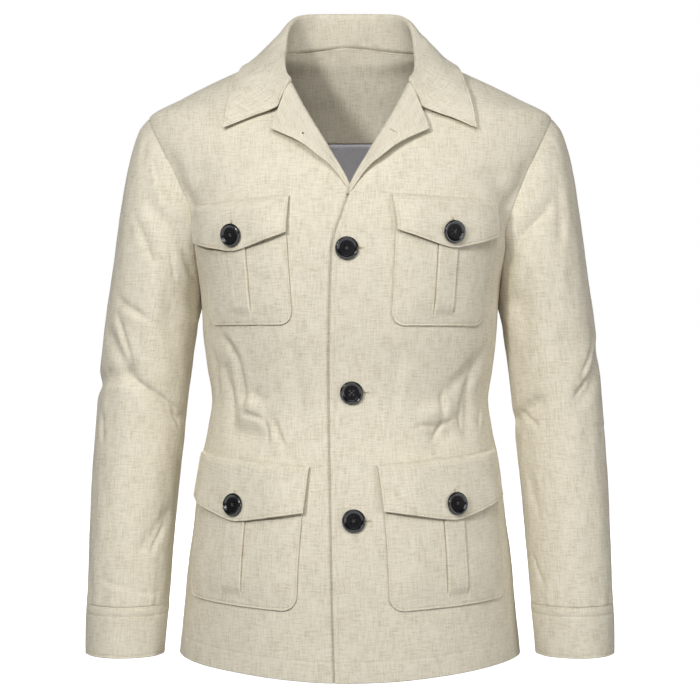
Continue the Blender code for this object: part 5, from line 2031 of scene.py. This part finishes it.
def pale_floor():
    body = bmesh.new()
    bmesh.ops.create_grid(body, x_segments=1, y_segments=1, size=FLOOR_HALF)
    mesh = finished_mesh(body, "floor")
    mesh.transform(Matrix.Translation((0, 0, FLOOR)))
    finish = Finish("pale_floor", "Object")
    tone = finish.ramp(finish.noise((3, 3, 3)), [(0.3, grey(0.93)), (0.7, grey(0.96))])
    finish.shade({"Base Color": tone, "Roughness": 0.9})
    finish.shade({"Emission Color": (1, 1, 1, 1), "Emission Strength": 1.0})
    mesh.materials.append(finish.material)
    floor = add_object("floor", mesh)
    floor.visible_diffuse = False  # the floor stays white without lighting the jacket from below
    floor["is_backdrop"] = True


pale_floor()
print("floor at", FLOOR, "m")

# %% Soft light
MIDDLE = -0.348  # height of the middle of the jacket
Lamp = namedtuple("Lamp", "name place size power")
LAMPS = [Lamp(*row) for row in (
    ("front", (0.0, -2.5, 1.3), 1.8, 42),
    ("left", (-1.2, -2.3, 0.5), 0.3, 37),
    ("right", (2.0, -1.7, -0.5), 1.2, 26),
    ("back", (0.0, 2.6, 0.6), 1.8, 35),
)]
SEEN_WHITE, CAST_WHITE = 1.0, 0.06  # strength of the white behind the jacket, and of its light


def area_light(lamp):
    """A soft square lamp that looks at the middle of the jacket."""
    data = bpy.data.lights.new(lamp.name, "AREA")
    data.size = lamp.size
    data.energy = lamp.power
    light = add_object(lamp.name, data)
    light.location = lamp.place
    light.rotation_mode = "QUATERNION"
    aim = Vector((0, 0, MIDDLE)) - Vector(lamp.place)
    light.rotation_quaternion = aim.to_track_quat("-Z", "Y")


def studio_world():
    """White behind the jacket, and a dimmer white that lights it."""
    world = bpy.data.worlds.new("studio")
    world.use_nodes = True
    nodes, links = world.node_tree.nodes, world.node_tree.links
    nodes.clear()
    choose, path = nodes.new("ShaderNodeMixShader"), nodes.new("ShaderNodeLightPath")
    links.new(path.outputs["Is Camera Ray"], choose.inputs["Fac"])
    for number, strength in ((1, CAST_WHITE), (2, SEEN_WHITE)):
        white = nodes.new("ShaderNodeBackground")
        white.inputs["Color"].default_value = (1, 1, 1, 1)
        white.inputs["Strength"].default_value = strength
        links.new(white.outputs["Background"], choose.inputs[number])
    links.new(choose.outputs["Shader"], nodes.new("ShaderNodeOutputWorld").inputs["Surface"])
    bpy.context.scene.world = world


for lamp in LAMPS:
    area_light(lamp)
studio_world()
bpy.context.scene.view_settings.view_transform = "Standard"
print("lamps:", [lamp.name for lamp in LAMPS])

# %% Camera
DISTANCE = 2.2  # from the camera to the middle of the jacket
LENS, SENSOR = 95.9, 36  # in millimetres


def photo_camera():
    data = bpy.data.cameras.new("photo_camera")
    data.sensor_width = SENSOR
    data.lens = LENS
    data.clip_end = 100
    camera = add_object("photo_camera", data)
    camera.location = (0.0, -DISTANCE, MIDDLE)
    camera.rotation_euler = (math.radians(90), 0, 0)
    bpy.context.scene.camera = camera


photo_camera()
print("camera with a lens of", LENS, "mm")

# %% [markdown]
# ## Measure the dressed jacket
#
# The frame's box and the dressed jacket's box are printed side by side. The dressed jacket has to stay
# in the frame's box.

# %% Measure the dressed jacket
low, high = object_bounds()
for box_name, box in (("frame", CAD_HIGH - CAD_LOW), ("dressed", high - low)):
    print(box_name, [round(side, 4) for side in box], "m")
